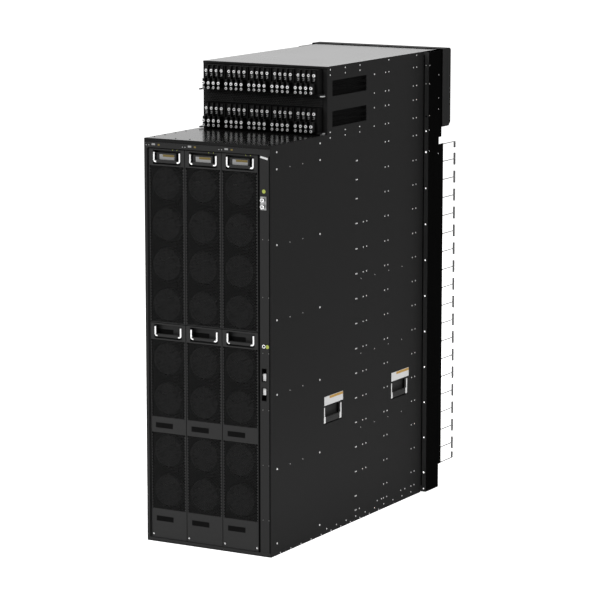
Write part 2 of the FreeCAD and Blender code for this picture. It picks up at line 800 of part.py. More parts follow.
def make_power_inlets(label, row, foot, top, inlet_block):
    """A rear plate of the power bay with a row of terminal blocks and a slotted air band."""
    body = new_body(f"{label}_plate")
    half = f"({HALF_WIDTH} - power_post - seat_gap)"
    plate = rectangle((f"-{half}", foot), (half, top))
    slab(body, "plate", "Y", STEP_FACE, CARRIER_BACK, plate)
    lower_band = f"({inlet_foot(0)} + block_height + carrier_split) / 2"
    upper_band = f"(carrier_split + {inlet_foot(1)}) / 2"
    band = lower_band if row == 0 else upper_band
    centre = block_centre(0)
    slot = rectangle(
        (f"{centre} - band_slot_width / 2", f"{band} - band_slot_height / 2"),
        (f"{centre} + band_slot_width / 2", f"{band} + band_slot_height / 2"),
    )
    first = opening(body, "air_slot", "Y", STEP_FACE, CARRIER_BACK, [slot])
    row_of(body, "air_band", first, "X", "block_pitch", "block_count")
    blocks = [
        copy_of(f"{label}_block_{index + 1}", inlet_block, block_centre(index), STEP_FACE, inlet_foot(row))
        for index in range(SIZES["block_count"])
    ]
    return fuse(label, [body] + blocks)


def make_terminal_bars():
    """Metal posts on the lower level and flat bars on the upper level of each column."""
    bars = []
    for row in range(2):
        for index in range(SIZES["block_count"]):
            for column in range(SIZES["column_count"]):
                middle = f"({block_centre(index)} + ({column} - (column_count - 1) / 2) * column_pitch)"
                face = f"({STEP_FACE} - block_reach)"
                post = ("terminal_width", f"{STEP_FACE} - terminal_reach")
                bar = ("bar_width", f"{face} - bar_thickness")
                for level, (width, tip) in enumerate((post, bar)):
                    foot = f"({inlet_foot(row)} + {level} * level_height + bar_foot)"
                    bars.append(
                        block(
                            f"bar_{row}_{index}_{column}_{level}",
                            (f"{middle} - {width} / 2", tip, foot),
                            (f"{middle} + {width} / 2", face, f"{foot} + bar_height"),
                        )
                    )
    return group("terminal_bars", bars)


def make_power_supplies():
    """Two shelves of power supplies behind the inlets; the upper shelf lies on the lower supplies."""
    rear = f"({CARRIER_BACK} + supply_setback)"
    pieces = []
    for row in range(2):
        floor = f"(step_height + {row} * (supply_height + sheet_thickness))"
        pieces.append(
            block(
                f"supply_shelf_{row}",
                (f"-{INNER_SIDE}", CARRIER_BACK, f"{floor} - sheet_thickness"),
                (INNER_SIDE, f"{EAR_LEG_REAR} - seat_gap", floor),
            )
        )
        for index in range(SIZES["block_count"]):
            pieces.append(
                block(
                    f"supply_{row}_{index}",
                    (f"{block_centre(index)} - supply_width / 2", rear, floor),
                    (f"{block_centre(index)} + supply_width / 2", FRONT, f"{floor} + supply_height"),
                )
            )
    return fuse("power_supplies", pieces)


def make_card_cage():
    """Closed cage behind a front of card plates, grooved where plates meet, with their ejector levers."""
    body = new_body("card_cage")
    shelf_end = f"({EAR_LEG_REAR} - seat_gap)"
    for name, foot in (("floor", "cage_foot - sheet_thickness"), ("roof", CAGE_TOP)):
        shelf = rectangle((f"-{INNER_SIDE}", "cage_rear"), (INNER_SIDE, shelf_end))
        slab(body, name, "Z", foot, f"{foot} + sheet_thickness", shelf)
    outer = "(cage_half_width + sheet_thickness)"
    channel = [
        (f"-{outer}", "cage_rear"),
        (outer, "cage_rear"),
        (outer, CARD_BACK),
        ("cage_half_width", CARD_BACK),
        ("cage_half_width", "cage_rear + sheet_thickness"),
        ("-cage_half_width", "cage_rear + sheet_thickness"),
        ("-cage_half_width", CARD_BACK),
        (f"-{outer}", CARD_BACK),
    ]
    slab(body, "backplane_and_walls", "Z", "cage_foot", CAGE_TOP, channel)
    air = rectangle(
        ("-cage_half_width + slot_pitch", "cage_foot + slot_pitch"),
        ("cage_half_width - slot_pitch", f"{CAGE_TOP} - slot_pitch"),
    )
    opening(body, "backplane_window", "Y", "cage_rear", "cage_rear + sheet_thickness", [air])
    half = f"({INNER_SIDE} - card_front_margin)"
    front = rectangle((f"-{half}", "cage_foot"), (half, CAGE_TOP))
    slab(body, "card_fronts", "Y", CARD_BACK, FRONT, front)
    seam = "(cage_foot + slot_pitch)"
    groove = rectangle((f"-{half}", f"{seam} - card_gap / 2"), (half, f"{seam} + card_gap / 2"))
    first = opening(body, "card_seam", "Y", f"{FRONT} - card_groove", FRONT, [groove])
    row_of(body, "card_seams", first, "Z", "slot_pitch", "card_count - 1")
    middle = "(cage_foot + slot_pitch / 2)"
    for name, edge in (("left_ejector", f"-{half}"), ("right_ejector", f"{half} - ejector_width")):
        lever = rectangle(
            (edge, f"{middle} - ejector_height / 2"),
            (f"{edge} + ejector_width", f"{middle} + ejector_height / 2"),
        )
        first = slab(body, name, "Y", FRONT, f"{FRONT} + ejector_reach", lever)
        row_of(body, f"{name}_row", first, "Z", "slot_pitch", "card_count")
    return body


def make_rack_ear():
    """Folded ear: a leg inside the side panel, the flange with its holes and the notched cable wall."""
    body = new_body("right_rack_ear")
    outer = "rack_width / 2"
    leg_inner = f"({INNER_SIDE} - sheet_thickness)"
    flange_back = f"({FRONT} - sheet_thickness)"
    profile = [
        (leg_inner, EAR_LEG_REAR),
        (INNER_SIDE, EAR_LEG_REAR),
        (INNER_SIDE, flange_back),
        (outer, flange_back),
        (outer, FRONT),
        (leg_inner, FRONT),
    ]
    slab(body, "leg_and_flange", "Z", "ear_foot", TOP_UNDER, profile)
    reach = f"({FRONT} + wall_reach)"
    foot_reach = f"({FRONT} + wall_foot_reach)"
    notch = f"({FRONT} + notch_reach)"
    below_hood = "hood_rear - seat_gap"
    in_hood = "hood_rear + hood_lap"
    hood_floor = "hood_foot + sheet_thickness + seat_gap"
    wall = [
        (flange_back, "ear_foot"),
        (foot_reach, "ear_foot"),
        (foot_reach, "wall_foot_height"),
        (reach, "wall_foot_height"),
        (reach, "notch_foot"),
        (notch, "notch_foot"),
        (notch, "notch_foot + notch_height"),
        (below_hood, "notch_foot + notch_height"),
        (below_hood, hood_floor),
        (in_hood, hood_floor),
        (in_hood, TOP_UNDER),
        (flange_back, TOP_UNDER),
    ]
    slab(body, "cable_wall", "X", f"{outer} - sheet_thickness", outer, wall)
    line = "ear_hole_spread / 2"
    ends = ("ear_hole_first", "ear_hole_first + (ear_hole_count - 1) * ear_hole_pitch")
    bolts = [((line, level), "ear_hole_radius") for level in ends]
    opening(body, "rack_bolt_holes", "Y", flange_back, FRONT, circles=bolts)
    levels = ["ear_hole_foot", "hood_hole_first", "hood_hole_first + hood_hole_pitch"]
    singles = [polygon((line, level), "ear_hole_radius", SQUARE) for level in levels]
    opening(body, "end_holes", "Y", flange_back, FRONT, singles)
    next_hole = polygon((line, "ear_hole_first + ear_hole_pitch"), "ear_hole_radius", SQUARE)
    first = opening(body, "flange_hole", "Y", flange_back, FRONT, [next_hole])
    row_of(body, "flange_holes", first, "Z", "ear_hole_pitch", "ear_hole_count - 2")
    return body


def make_finger(label, below, above):
    """T-shaped cable finger about z = 0, root at y = 0; the head reaches below and above the stem."""
    half = "finger_width / 2"
    stem_low = "-finger_stem / 2"
    stem_high = "finger_stem / 2"
    head_rear = "finger_reach - finger_head_depth"
    outline = [
        ("0", stem_low),
        (head_rear, stem_low),
        (head_rear, below),
        ("finger_reach", below),
        ("finger_reach", above),
        (head_rear, above),
        (head_rear, stem_high),
        ("0", stem_high),
    ]
    body = new_body(label)
    corners = [point for index, point in enumerate(outline) if point != outline[index - 1]]
    slab(body, "finger", "X", f"-{half}", half, corners)
    return body


def make_cable_fingers():
    """Fingers at every slot boundary on both cable walls; the end ones have half a head."""
    whole = make_finger("finger_master", "-finger_head / 2", "finger_head / 2")
    lowest = make_finger("finger_lowest", "-finger_stem / 2", "finger_head / 2")
    highest = make_finger("finger_highest", "-finger_head / 2", "finger_stem / 2")
    last = SIZES["card_count"]
    fingers = []
    for side, sign in (("left", "-"), ("right", "")):
        for index in range(last + 1):
            master = lowest if index == 0 else highest if index == last else whole
            inset = "wall_foot_height + finger_stem" if index == 0 else f"cage_foot + {index} * slot_pitch"
            level = "notch_foot - finger_stem" if index == last else inset
            line = f"{sign}{FINGER_LINE}"
            fingers.append(copy_of(f"finger_{side}_{index}", master, line, FINGER_ROOT, level))
    return group("cable_fingers", fingers)


def make_front_hood():
    """Cover before the power supplies: open to the rear, slotted at the front, over the ears' ends."""
    body = new_body("front_hood")
    skin = "sheet_thickness"

    def side_view(inset, rear):
        low = f"(hood_foot + {inset})"
        high = f"({HOOD_TOP} - {inset})"
        face = f"({HOOD_FRONT} - {inset})"
        return [
            (rear, low),
            (f"{face} - hood_chamfer", low),
            (face, f"{low} + hood_chamfer"),
            (face, f"{high} - hood_chamfer / 2"),
            (f"{face} - hood_chamfer / 2", high),
            (rear, high),
        ]

    slab(body, "shell", "X", f"-{HOOD_SIDE}", HOOD_SIDE, side_view("0", "hood_rear"))
    inside = f"({HOOD_SIDE} - {skin})"
    opening(body, "inside", "X", f"-{inside}", inside, [side_view(skin, "hood_rear")])
    face = f"({HOOD_FRONT} - {skin})"
    slots_tall = "((hood_slot_count - 1) * hood_slot_pitch + hood_slot_height)"
    foot = f"(hood_foot + {HOOD_TOP}) / 2 - {slots_tall} / 2"
    near = "hood_slot_gap / 2"
    far = f"({near} + hood_slot_width)"
    slots = [
        rectangle((f"-{far}", foot), (f"-{near}", f"{foot} + hood_slot_height")),
        rectangle((near, foot), (far, f"{foot} + hood_slot_height")),
    ]
    first = opening(body, "air_slots", "Y", face, HOOD_FRONT, slots)
    row_of(body, "air_slot_rows", first, "Z", "hood_slot_pitch", "hood_slot_count")
    return body


def make_fan_trays():
    """Six trays with their handles and rotors, as copies of two tray masters."""
    handle = bail("tray_handle_master", "Y", "tray")
    rotor = make_rotor()
    pieces = []
    kinds = (
        ("upper", UPPER_TRAY_FOOT, UPPER_TRAY_HEIGHT, UPPER_WINDOWS, UPPER_FANS),
        ("lower", LOWER_TRAY_FOOT, LOWER_TRAY_HEIGHT, LOWER_WINDOWS, LOWER_FANS),
    )
    for kind, foot, height, windows, fans in kinds:
        master = make_fan_tray(f"{kind}_tray_master", height, windows, fans)
        for column in range(SIZES["tray_count"]):
            centre = column_centre(column)
            number = column + 1
            pieces.append(copy_of(f"{kind}_fan_tray_{number}", master, centre, TRAY_FACE, foot))
            top = tray_handle_top(foot, height)
            pieces.append(copy_of(f"{kind}_tray_handle_{number}", handle, centre, TRAY_FACE, top))
            front = f"({TRAY_FACE} + tray_sheet + rotor_setback)"
            for fan, middle in enumerate(fans, start=1):
                name = f"{kind}_rotor_{number}_{fan}"
                pieces.append(copy_of(name, rotor, centre, front, f"{foot} + {middle}"))
    return pieces


def make_lift_handles():
    """Four bails in the side pans, flush with the panels' outer faces."""
    master = bail("lift_handle_master", "X", "lift")
    handles = []
    for end in ("rear", "front"):
        inset = f"({HALF_WIDTH} - lift_bail_thickness)"
        middle = f"lift_{end}"
        handles.append(copy_of(f"right_{end}_lift_handle", master, inset, middle, "lift_top"))
        handles.append(copy_of(f"left_{end}_lift_handle", master, f"-{inset}", middle, "lift_top", 180))
    return handles


def make_nodes():
    right_panel = make_side_panel()
    right_ear = make_rack_ear()
    inlet_block = make_inlet_block()
    shell = [
        make_base_panel(),
        right_panel,
        mirror("left_side_panel", right_panel),
        make_step_cover(),
        make_power_cover(),
        make_front_hood(),
        right_ear,
        mirror("left_rack_ear", right_ear),
        make_cable_fingers(),
    ]
    fan_bay = [
        make_fan_bay_frame(),
        make_fan_bay_bulkhead(),
        make_service_strip(),
        make_ground_terminal(),
        make_wrist_strap_jack(),
        make_service_sockets(),
    ]
    power = [
        make_power_inlets("lower_power_inlets", 0, STEP_UNDER, "carrier_split", inlet_block),
        make_power_inlets("upper_power_inlets", 1, "carrier_split", TOP_UNDER, inlet_block),
        make_terminal_bars(),
        make_power_supplies(),
        make_card_cage(),
    ]
    return shell + fan_bay + power + make_fan_trays() + make_lift_handles()


nodes = make_nodes()
doc.recompute()
for thing in doc.Objects:
    if {"Invalid", "Error"} & set(thing.State):
        raise RuntimeError(f"{thing.Label} failed to build: {thing.State}")
for node in nodes:
    if node.Shape.isNull() or not node.Shape.isValid():
        raise RuntimeError(f"{node.Label} has no valid shape")
os.makedirs("parts", exist_ok=True)
for node in nodes:
    node.Shape.exportStep(f"parts/{node.Label}.step")
print(f"{len(nodes)} pieces, {sum(len(node.Shape.Solids) for node in nodes)} solids")
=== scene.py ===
# %% [markdown]
# # Dressing a router chassis
# The solids of this chassis come from a CAD file and are loaded as a fixed frame: metres, +Z up, the fan
# side at -Y, the card side at +Y. This lesson adds what the solids leave out, such as the perforated
# grilles, bent handles, screws, terminal heads and finishes, and then lights the whole thing for a picture.

from math import ceil, pi, radians, sqrt

import bmesh
import bpy
from mathutils import Matrix, Vector


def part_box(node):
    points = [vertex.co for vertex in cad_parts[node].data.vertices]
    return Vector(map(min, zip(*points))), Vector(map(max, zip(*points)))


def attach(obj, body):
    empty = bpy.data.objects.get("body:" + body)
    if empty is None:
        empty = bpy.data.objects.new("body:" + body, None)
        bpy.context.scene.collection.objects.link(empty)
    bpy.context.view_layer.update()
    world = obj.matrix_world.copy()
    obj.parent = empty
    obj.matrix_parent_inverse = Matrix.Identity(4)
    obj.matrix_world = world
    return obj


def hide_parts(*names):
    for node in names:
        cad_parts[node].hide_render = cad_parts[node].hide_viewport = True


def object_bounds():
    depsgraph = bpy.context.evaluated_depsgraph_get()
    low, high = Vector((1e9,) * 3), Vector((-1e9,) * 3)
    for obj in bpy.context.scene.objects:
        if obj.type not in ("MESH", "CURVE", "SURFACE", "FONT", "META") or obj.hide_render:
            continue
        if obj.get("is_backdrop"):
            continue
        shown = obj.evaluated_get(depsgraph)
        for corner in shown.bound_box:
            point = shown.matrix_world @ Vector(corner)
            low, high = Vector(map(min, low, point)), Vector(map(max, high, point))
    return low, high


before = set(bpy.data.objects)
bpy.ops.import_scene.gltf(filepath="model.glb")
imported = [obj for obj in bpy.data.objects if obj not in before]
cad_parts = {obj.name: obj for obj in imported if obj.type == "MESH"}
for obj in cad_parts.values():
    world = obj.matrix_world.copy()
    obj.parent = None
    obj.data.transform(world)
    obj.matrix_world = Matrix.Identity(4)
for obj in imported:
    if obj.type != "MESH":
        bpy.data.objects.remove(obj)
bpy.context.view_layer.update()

# %% [markdown]
# ## Drawing in millimetres
# Sheet metal is thought of in millimetres, so each piece is drawn in millimetres and shrunk to metres when
# it is put on its body. A helper does that for all pieces, so none is forgotten: it scales the bmesh, makes
# the object at the origin, gives it one of the finishes that are made below, and lets it ride on a body of
# the frame. Levels that come back, such as the outside of the side sheets, get a name.

# %% Put a piece on a body
MM = 0.001


def put(name, bm, finish, body="chassis", stands_for=()):
    """Make a piece from a bmesh drawn in millimetres."""
    bmesh.ops.scale(bm, verts=bm.verts, vec=(MM, MM, MM))
    mesh = bpy.data.meshes.new(name)
    bm.to_mesh(mesh)
    bm.free()
    mesh.materials.append(FINISHES[finish])
    made = bpy.data.objects.new(name, mesh)
    bpy.context.scene.collection.objects.link(made)
    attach(made, body)
    if stands_for:
        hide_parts(*stands_for)
    print(f"{name}: {len(mesh.polygons)} faces on {body}")


def box_mm(node):
    """Lowest and highest corner of a CAD node, in millimetres."""
    low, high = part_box(node)
    return low / MM, high / MM


# %% Faces and directions that come back
SIDES = (("right", 1), ("left", -1))
UP, FAN_SIDE, CARD_SIDE = (0, 0, 1), (0, -1, 0), (0, 1, 0)
SKIN = 221.0
FAN_FACE = -490.0
EAR_FACE = 488.0
CARD_FRONT = 490.0
print("from the fan side to the card fronts:", CARD_FRONT - FAN_FACE, "mm")

# %% [markdown]
# ## Three shapes that come back
# Almost everything small on a chassis is a folded block, a turned head, or one of these many times over.
# A block starts as a cube whose edges are bevelled, because a sharp edge catches no light. A turned head is
# half a profile, spun about its axis. Repeats are stamped: one template is duplicated to each place.

# %% Blocks, turned parts and stamps
def add_block(bm, low, high, soften=0.0, steps=2):
    """Box between two corners, with softened edges."""
    low, high = Vector(low), Vector(high)
    verts = bmesh.ops.create_cube(bm, size=1.0)["verts"]
    bmesh.ops.scale(bm, verts=verts, vec=high - low)
    bmesh.ops.translate(bm, verts=verts, vec=(low + high) / 2)
    if soften:
        edges = list({edge for vert in verts for edge in vert.link_edges})
        bmesh.ops.bevel(
            bm, geom=edges, offset=soften, offset_type="OFFSET", segments=steps,
            profile=0.5, affect="EDGES", material=-1, clamp_overlap=True,
        )


def block(low, high, soften=0.0, steps=2):
    """New bmesh with one box."""
    bm = bmesh.new()
    add_block(bm, low, high, soften, steps)
    return bm


def face_out(bm):
    bmesh.ops.recalc_face_normals(bm, faces=bm.faces)


def turned(profile, steps, closed=False):
    """Spin (radius, height) points about Z into a new bmesh."""
    bm = bmesh.new()
    points = [bm.verts.new((radius, 0, height)) for radius, height in profile]
    lines = [bm.edges.new(pair) for pair in zip(points, points[1:])]
    if closed:
        lines.append(bm.edges.new((points[-1], points[0])))
    bmesh.ops.spin(
        bm, geom=points + lines, cent=(0, 0, 0), axis=(0, 0, 1), angle=2 * pi, steps=steps, use_merge=True
    )
    bmesh.ops.remove_doubles(bm, verts=bm.verts, dist=0.001)
    face_out(bm)
    return bm


def whole(bm):
    return bm.verts[:] + bm.edges[:] + bm.faces[:]


def verts_of(geom):
    return [item for item in geom if isinstance(item, bmesh.types.BMVert)]


def edges_of(geom):
    return [item for item in geom if isinstance(item, bmesh.types.BMEdge)]


def shift(bm, step, geom=None):
    """Move a bmesh, or only a part of it, by a step."""
    bmesh.ops.translate(bm, verts=verts_of(geom) if geom else bm.verts, vec=Vector(step))


def turn_about(bm, axis, angle):
    """Turn all of a bmesh about an axis through the origin."""
    bmesh.ops.rotate(bm, verts=bm.verts, cent=(0, 0, 0), matrix=Matrix.Rotation(angle, 3, axis))


def join_into(bm, part):
    """Move a finished bmesh into another one."""
    shape = bpy.data.meshes.new("shape")
    part.to_mesh(shape)
    part.free()
    bm.from_mesh(shape)
    bpy.data.meshes.remove(shape)


def stamped(bm, places, facing=UP):
    """Turn a template's Z axis to a direction and repeat it at each place."""
    turn = Vector(UP).rotation_difference(Vector(facing)).to_matrix()
    bmesh.ops.rotate(bm, verts=bm.verts, cent=(0, 0, 0), matrix=turn)
    first = whole(bm)
    for place in places[1:]:
        shift(bm, place, bmesh.ops.duplicate(bm, geom=first)["geom"])
    shift(bm, places[0], first)
    return bm


def turned_at(places, profile, steps, facing=FAN_SIDE, closed=False):
    """One turned part, repeated at each place."""
    return stamped(turned(profile, steps, closed), places, facing)


# %% [markdown]
# ## Shared surface effects
# Powder coat and moulded plastic both have a fine pebbled skin and a broad, cloudy change of tone. Drawn or
# rolled metal has streaks along one direction. Each effect is built once as a node group on Object
# coordinates, so it keeps its scale on every piece, and the materials below only choose their own values.

# %% Node groups: grain and streaks
OUTPUTS = ("Height", "Tone", "Gloss")


def feed(tree, node, values):
    """Set the inputs of a node to values, or link them to sockets."""
    for label, value in values.items():
        if isinstance(value, bpy.types.NodeSocket):
            tree.links.new(value, node.inputs[label])
        else:
            node.inputs[label].default_value = value


def add_node(tree, kind, values, **settings):
    """New shader node with its settings and inputs."""
    node = tree.nodes.new("ShaderNode" + kind)
    for label, value in settings.items():
        setattr(node, label, value)
    feed(tree, node, values)
    return node


def new_group(name, inputs):
    """Shader group with named inputs, and the sockets of its inputs and of its place."""
    group = bpy.data.node_groups.new(name, "ShaderNodeTree")
    for label, kind, value in inputs:
        group.interface.new_socket(label, in_out="INPUT", socket_type=kind).default_value = value
    for label in OUTPUTS:
        group.interface.new_socket(label, in_out="OUTPUT", socket_type="NodeSocketFloat")
    place = group.nodes.new("ShaderNodeTexCoord").outputs["Object"]
    return group, group.nodes.new("NodeGroupInput").outputs, place


def close_group(group, sockets):
    """Link sockets to the outputs of a group."""
    feed(group, group.nodes.new("NodeGroupOutput"), dict(zip(OUTPUTS, sockets)))
    return group


def noise_at(group, vector, scale, detail):
    values = {"Vector": vector, "Scale": scale, "Detail": detail}
    return add_node(group, "TexNoise", values).outputs["Fac"]


def make_grain():
    """Fine pebbles for the bump, a cloudy tone, and a gloss that is a mix of both."""
    sockets = [("Grain", "NodeSocketFloat", 900.0), ("Cloud", "NodeSocketFloat", 7.0)]
    group, given, place = new_group("coat_grain", sockets)
    pebbles = noise_at(group, place, given["Grain"], 2.0)
    clouds = noise_at(group, place, given["Cloud"], 5.0)
    mix = add_node(group, "Math", {0: pebbles, 1: 0.4, 2: clouds}, operation="MULTIPLY_ADD")
    return close_group(group, (pebbles, clouds, mix.outputs[0]))


def make_streaks():
    """Streaks along the direction in which the stretch is smallest, with soft smudges."""
    sockets = [("Stretch", "NodeSocketVector", (1500.0, 1500.0, 20.0)), ("Smudge", "NodeSocketFloat", 30.0)]
    group, given, place = new_group("metal_streaks", sockets)
    pull = add_node(group, "VectorMath", {0: place, 1: given["Stretch"]}, operation="MULTIPLY")
    lines = noise_at(group, pull.outputs["Vector"], 1.0, 3.0)
    smudge = noise_at(group, place, given["Smudge"], 3.0)
    return close_group(group, (lines, lines, smudge))


COAT_GRAIN = make_grain()
METAL_STREAKS = make_streaks()
print("groups:", COAT_GRAIN.name, METAL_STREAKS.name)

# %% [markdown]
# ## The finishes
# The real object is nearly all black: a matt powder coat on the sides, a slightly livelier one on the fan
# side, smooth lacquer on the two covers, and dead black cable walls. What tells them apart is mostly how much
# they mirror, so the specular level is set on each shader by itself and the colour stays close to black. Some
# paints carry painted light: lighter copies for the ear flanges, the handle pockets, the air band, the tray
# teeth and the barrier fronts, and near-black paint as painted shade in gaps, hollows and inside the chassis.
# Handles, screws and terminals are bright plated metal.

# %% Make a finish
PEBBLE = 0.0002


def colour(value):
    """RGBA from a grey level or from three parts."""
    return (*value, 1.0) if isinstance(value, tuple) else (value, value, value, 1.0)


def make_finish(name, dark, pale, rough, specular=0.5, metallic=0.0, relief=0.15, group=COAT_GRAIN, **values):
    """Principled material whose tone, gloss and bump come from a surface group."""
    material = bpy.data.materials.new(name)
    material.use_nodes = True
    tree = material.node_tree
    scales = {label.title(): value for label, value in values.items()}
    surface = add_node(tree, "Group", scales, node_tree=group).outputs
    tone = add_node(tree, "Mix", {0: surface["Tone"], 6: colour(dark), 7: colour(pale)}, data_type="RGBA")
    gloss = add_node(tree, "MapRange", {"Value": surface["Gloss"], "To Min": rough[0], "To Max": rough[1]})
    bump = add_node(tree, "Bump", {"Height": surface["Height"], "Strength": relief, "Distance": PEBBLE})
    feed(tree, tree.nodes["Principled BSDF"], {
        "Metallic": metallic, "Specular IOR Level": specular, "Base Color": tone.outputs[2],
        "Roughness": gloss.outputs["Result"], "Normal": bump.outputs["Normal"],
    })
    return material


# %% Paints
SMOOTH, SATIN, DULL, MATT = (0.35, 0.5), (0.4, 0.55), (0.45, 0.6), (0.5, 0.65)
BRUSHED = (0.3, 0.45)
# dark tone, pale tone, roughness from and to, mirror strength
PAINTS = {
    "shell_paint": (0.0136, 0.0169, DULL, 0.012),
    "fan_side_paint": (0.0125, 0.0162, SMOOTH, 0.22),
    # painted light: the teeth belong to the tray sheet and are painted lighter for the light they catch
    "tooth_painted_light": (0.024, 0.03, SMOOTH, 0.22),
    "strip_paint": (0.0095, 0.0126, SMOOTH, 0.2),
    "hood_paint": (0.0048, 0.0062, SATIN, 0.03),
    "ear_paint": (0.0006, 0.0014, MATT, 0.002),
    # painted light: the flange of the rack ear, lighter than the rest of the ear for light that reaches it
    "flange_painted_light": (0.026, 0.035, SATIN, 0.1),
    # painted light: the backs of the lift handle pockets, lighter than the side sheets against the shade in
    # the pockets
    "pan_painted_light": (0.025, 0.033, MATT, 0.02),
    # painted light: the air band is black, lightened against the shade under the upper row of terminals
    "air_band_painted_light": (0.036, 0.046, MATT, 0.02),
    "field_paint": (0.006, 0.007, MATT, 0.01),
    # painted shade: the supplies are painted near black for the dark space inside the chassis
    "supply_paint": (0.005, 0.008, MATT, 0.03),
    "card_paint": (0.018, 0.026, SMOOTH, 0.3),
}
LACQUERS = {
    "cover_lacquer": (0.006, 0.008, (0.17, 0.21), 0.53),
    "step_lacquer": (0.005, 0.007, (0.16, 0.18), 0.12),
}
FINISHES = {name: make_finish(name, *values) for name, values in PAINTS.items()}
for name, values in LACQUERS.items():
    FINISHES[name] = make_finish(name, *values, relief=0.01, cloud=3.0)

# %% Metals
# dark tone, pale tone, roughness from and to, how metallic
METALS = {
    "plated_metal": (0.78, 0.92, (0.15, 0.3), 1.0),
    "handle_steel": (0.86, 0.97, BRUSHED, 1.0),
    "strap_steel": (0.38, 0.48, BRUSHED, 1.0),
    "clip_steel": (0.16, 0.24, SMOOTH, 1.0),
    "screw_steel": (0.45, 0.6, BRUSHED, 1.0),
    "head_metal": (0.82, 0.95, BRUSHED, 0.5),
    "nut_metal": (0.68, 0.8, BRUSHED, 0.5),
    "bar_metal": (0.012, 0.02, SATIN, 1.0),
}
for name, (dark, pale, rough, metallic) in METALS.items():
    FINISHES[name] = make_finish(name, dark, pale, rough, 0.5, metallic, 0.05, METAL_STREAKS)
FINISHES["zinc_sheet"] = make_finish(
    "zinc_sheet", 0.26, 0.4, (0.3, 0.5), metallic=1.0, relief=0.05, grain=120.0, cloud=45.0
)

# %% Plastics and plain label fields
PLASTICS = {
    "inlet_plastic": (0.005, 0.007, SATIN, 0.03),
    "grip_plastic": (0.008, 0.012, DULL, 0.08),
    "socket_plastic": (0.003, 0.005, DULL, 0.03),
    "insert_plastic": (0.7, 0.82, (0.4, 0.5), 0.3),
    "fan_plastic": (0.0095, 0.0125, SATIN, 0.15),
    "wheel_plastic": (0.004, 0.006, SATIN, 0.05),
    # painted highlight: the front faces of the inlet barriers, lighter than the rest of the inlet
    "rib_painted_light": (0.018, 0.024, SATIN, 0.05),
    # near black: black parts, and painted shade in gaps, hollows and behind openings
    "black_and_shade": (0.002, 0.003, (0.6, 0.75), 0.01),
    "finger_plastic": (0.18, 0.24, SATIN, 0.2),
}
for name, values in PLASTICS.items():
    FINISHES[name] = make_finish(name, *values)
LABELS = {
    "pale_label": (0.62, 0.72),
    "plate_label": (0.48, 0.58),
    "grey_label": (0.27, 0.33),
    "amber_label": ((0.34, 0.19, 0.03), (0.4, 0.24, 0.05)),
    "olive_label": ((0.14, 0.1, 0.025), (0.19, 0.14, 0.04)),
    "green_dot": ((0.35, 0.42, 0.06), (0.45, 0.5, 0.12)),
}
for name, (dark, pale) in LABELS.items():
    FINISHES[name] = make_finish(name, dark, pale, (0.5, 0.6), specular=0.2, relief=0.05)
print("finishes:", ", ".join(FINISHES))

# %% [markdown]
# ## Paint the CAD solids
# The solids whose shape is already right stay as they are and only get a finish. Some are one node with two
# finishes, such as the sockets with a black case and a white insert; there it is chosen face by face.

# %% Finish of each CAD node, by a word in its name
# The fan bay bulkhead and the power supplies lie inside; they are painted near black as painted shade of the
# inner space.
FINISH_OF = {
    "base_panel": "shell_paint", "side_panel": "shell_paint", "step_cover": "step_lacquer",
    "power_cover": "cover_lacquer", "front_hood": "hood_paint", "rack_ear": "ear_paint",
    "cable_fingers": "finger_plastic", "fan_bay_frame": "strip_paint", "service_strip": "strip_paint",
    "fan_bay_bulkhead": "black_and_shade", "ground_terminal": "zinc_sheet", "wrist_strap_jack": "bar_metal",
    "service_sockets": "socket_plastic", "power_inlets": "inlet_plastic", "terminal_bars": "bar_metal",
    "power_supplies": "supply_paint", "card_cage": "card_paint", "fan_tray": "fan_side_paint",
    "rotor": "fan_plastic", "handle": "handle_steel",
}
for name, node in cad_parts.items():
    word = next(word for word in FINISH_OF if word in name)
    node.data.materials.clear()
    node.data.materials.append(FINISHES[FINISH_OF[word]])
print("finished", len(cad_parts), "nodes")

# %% Faces with a finish of their own
def repaint(node, finish, wanted):
    """Another finish for those faces of a CAD node whose middle (mm) and normal are wanted."""
    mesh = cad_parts[node].data
    mesh.materials.append(FINISHES[finish])
    chosen = [face for face in mesh.polygons if wanted(face.center / MM, face.normal)]
    for face in chosen:
        face.material_index = len(mesh.materials) - 1
    print(node, "faces repainted:", len(chosen))


INSERT_FRONT = -485.5
SOCKET_MIDDLE = 530.0
INSERT_HEIGHTS = (10.2, 32.3)
BARRIER_FRONT = -184.0
PAN_BOTTOM = 204.0
repaint("service_sockets", "insert_plastic", lambda at, way: (
    INSERT_FRONT - 0.5 < at.y < INSERT_FRONT + 11.5
    and INSERT_HEIGHTS[0] - 0.1 < abs(at.z - SOCKET_MIDDLE) < INSERT_HEIGHTS[1] + 0.1 and way.y < 0.5
    and (way.y < -0.9 or abs(way.z) > 0.9)
))
for cover in ("step_cover", "power_cover"):
    repaint(cover, "shell_paint", lambda at, way: abs(way.z) < 0.5)
    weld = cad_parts[cover].modifiers.new("weld", "WELD")
    weld.merge_threshold = 0.01 * MM
    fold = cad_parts[cover].modifiers.new("fold", "BEVEL")
    fold.width = 1.5 * MM
    fold.segments = 3
for row in ("lower", "upper"):
    # the front faces of the inlet barriers get a lighter plastic, a painted highlight
    repaint(f"{row}_power_inlets", "rib_painted_light", lambda at, way: way.y < -0.9 and at.y < BARRIER_FRONT)
for side in ("right", "left"):
    # the rear faces of each ear's flange get a lighter paint, painted light
    repaint(f"{side}_rack_ear", "flange_painted_light", lambda at, way: way.y < -0.9 and abs(at.y - EAR_FACE) < 0.6)
    # the backs of the lift handle pockets get a lighter copy of the side paint, painted light against their
    # shade
    repaint(
        f"{side}_side_panel", "pan_painted_light",
        lambda at, way: abs(way.x) > 0.9 and abs(abs(at.x) - PAN_BOTTOM) < 0.6,
    )

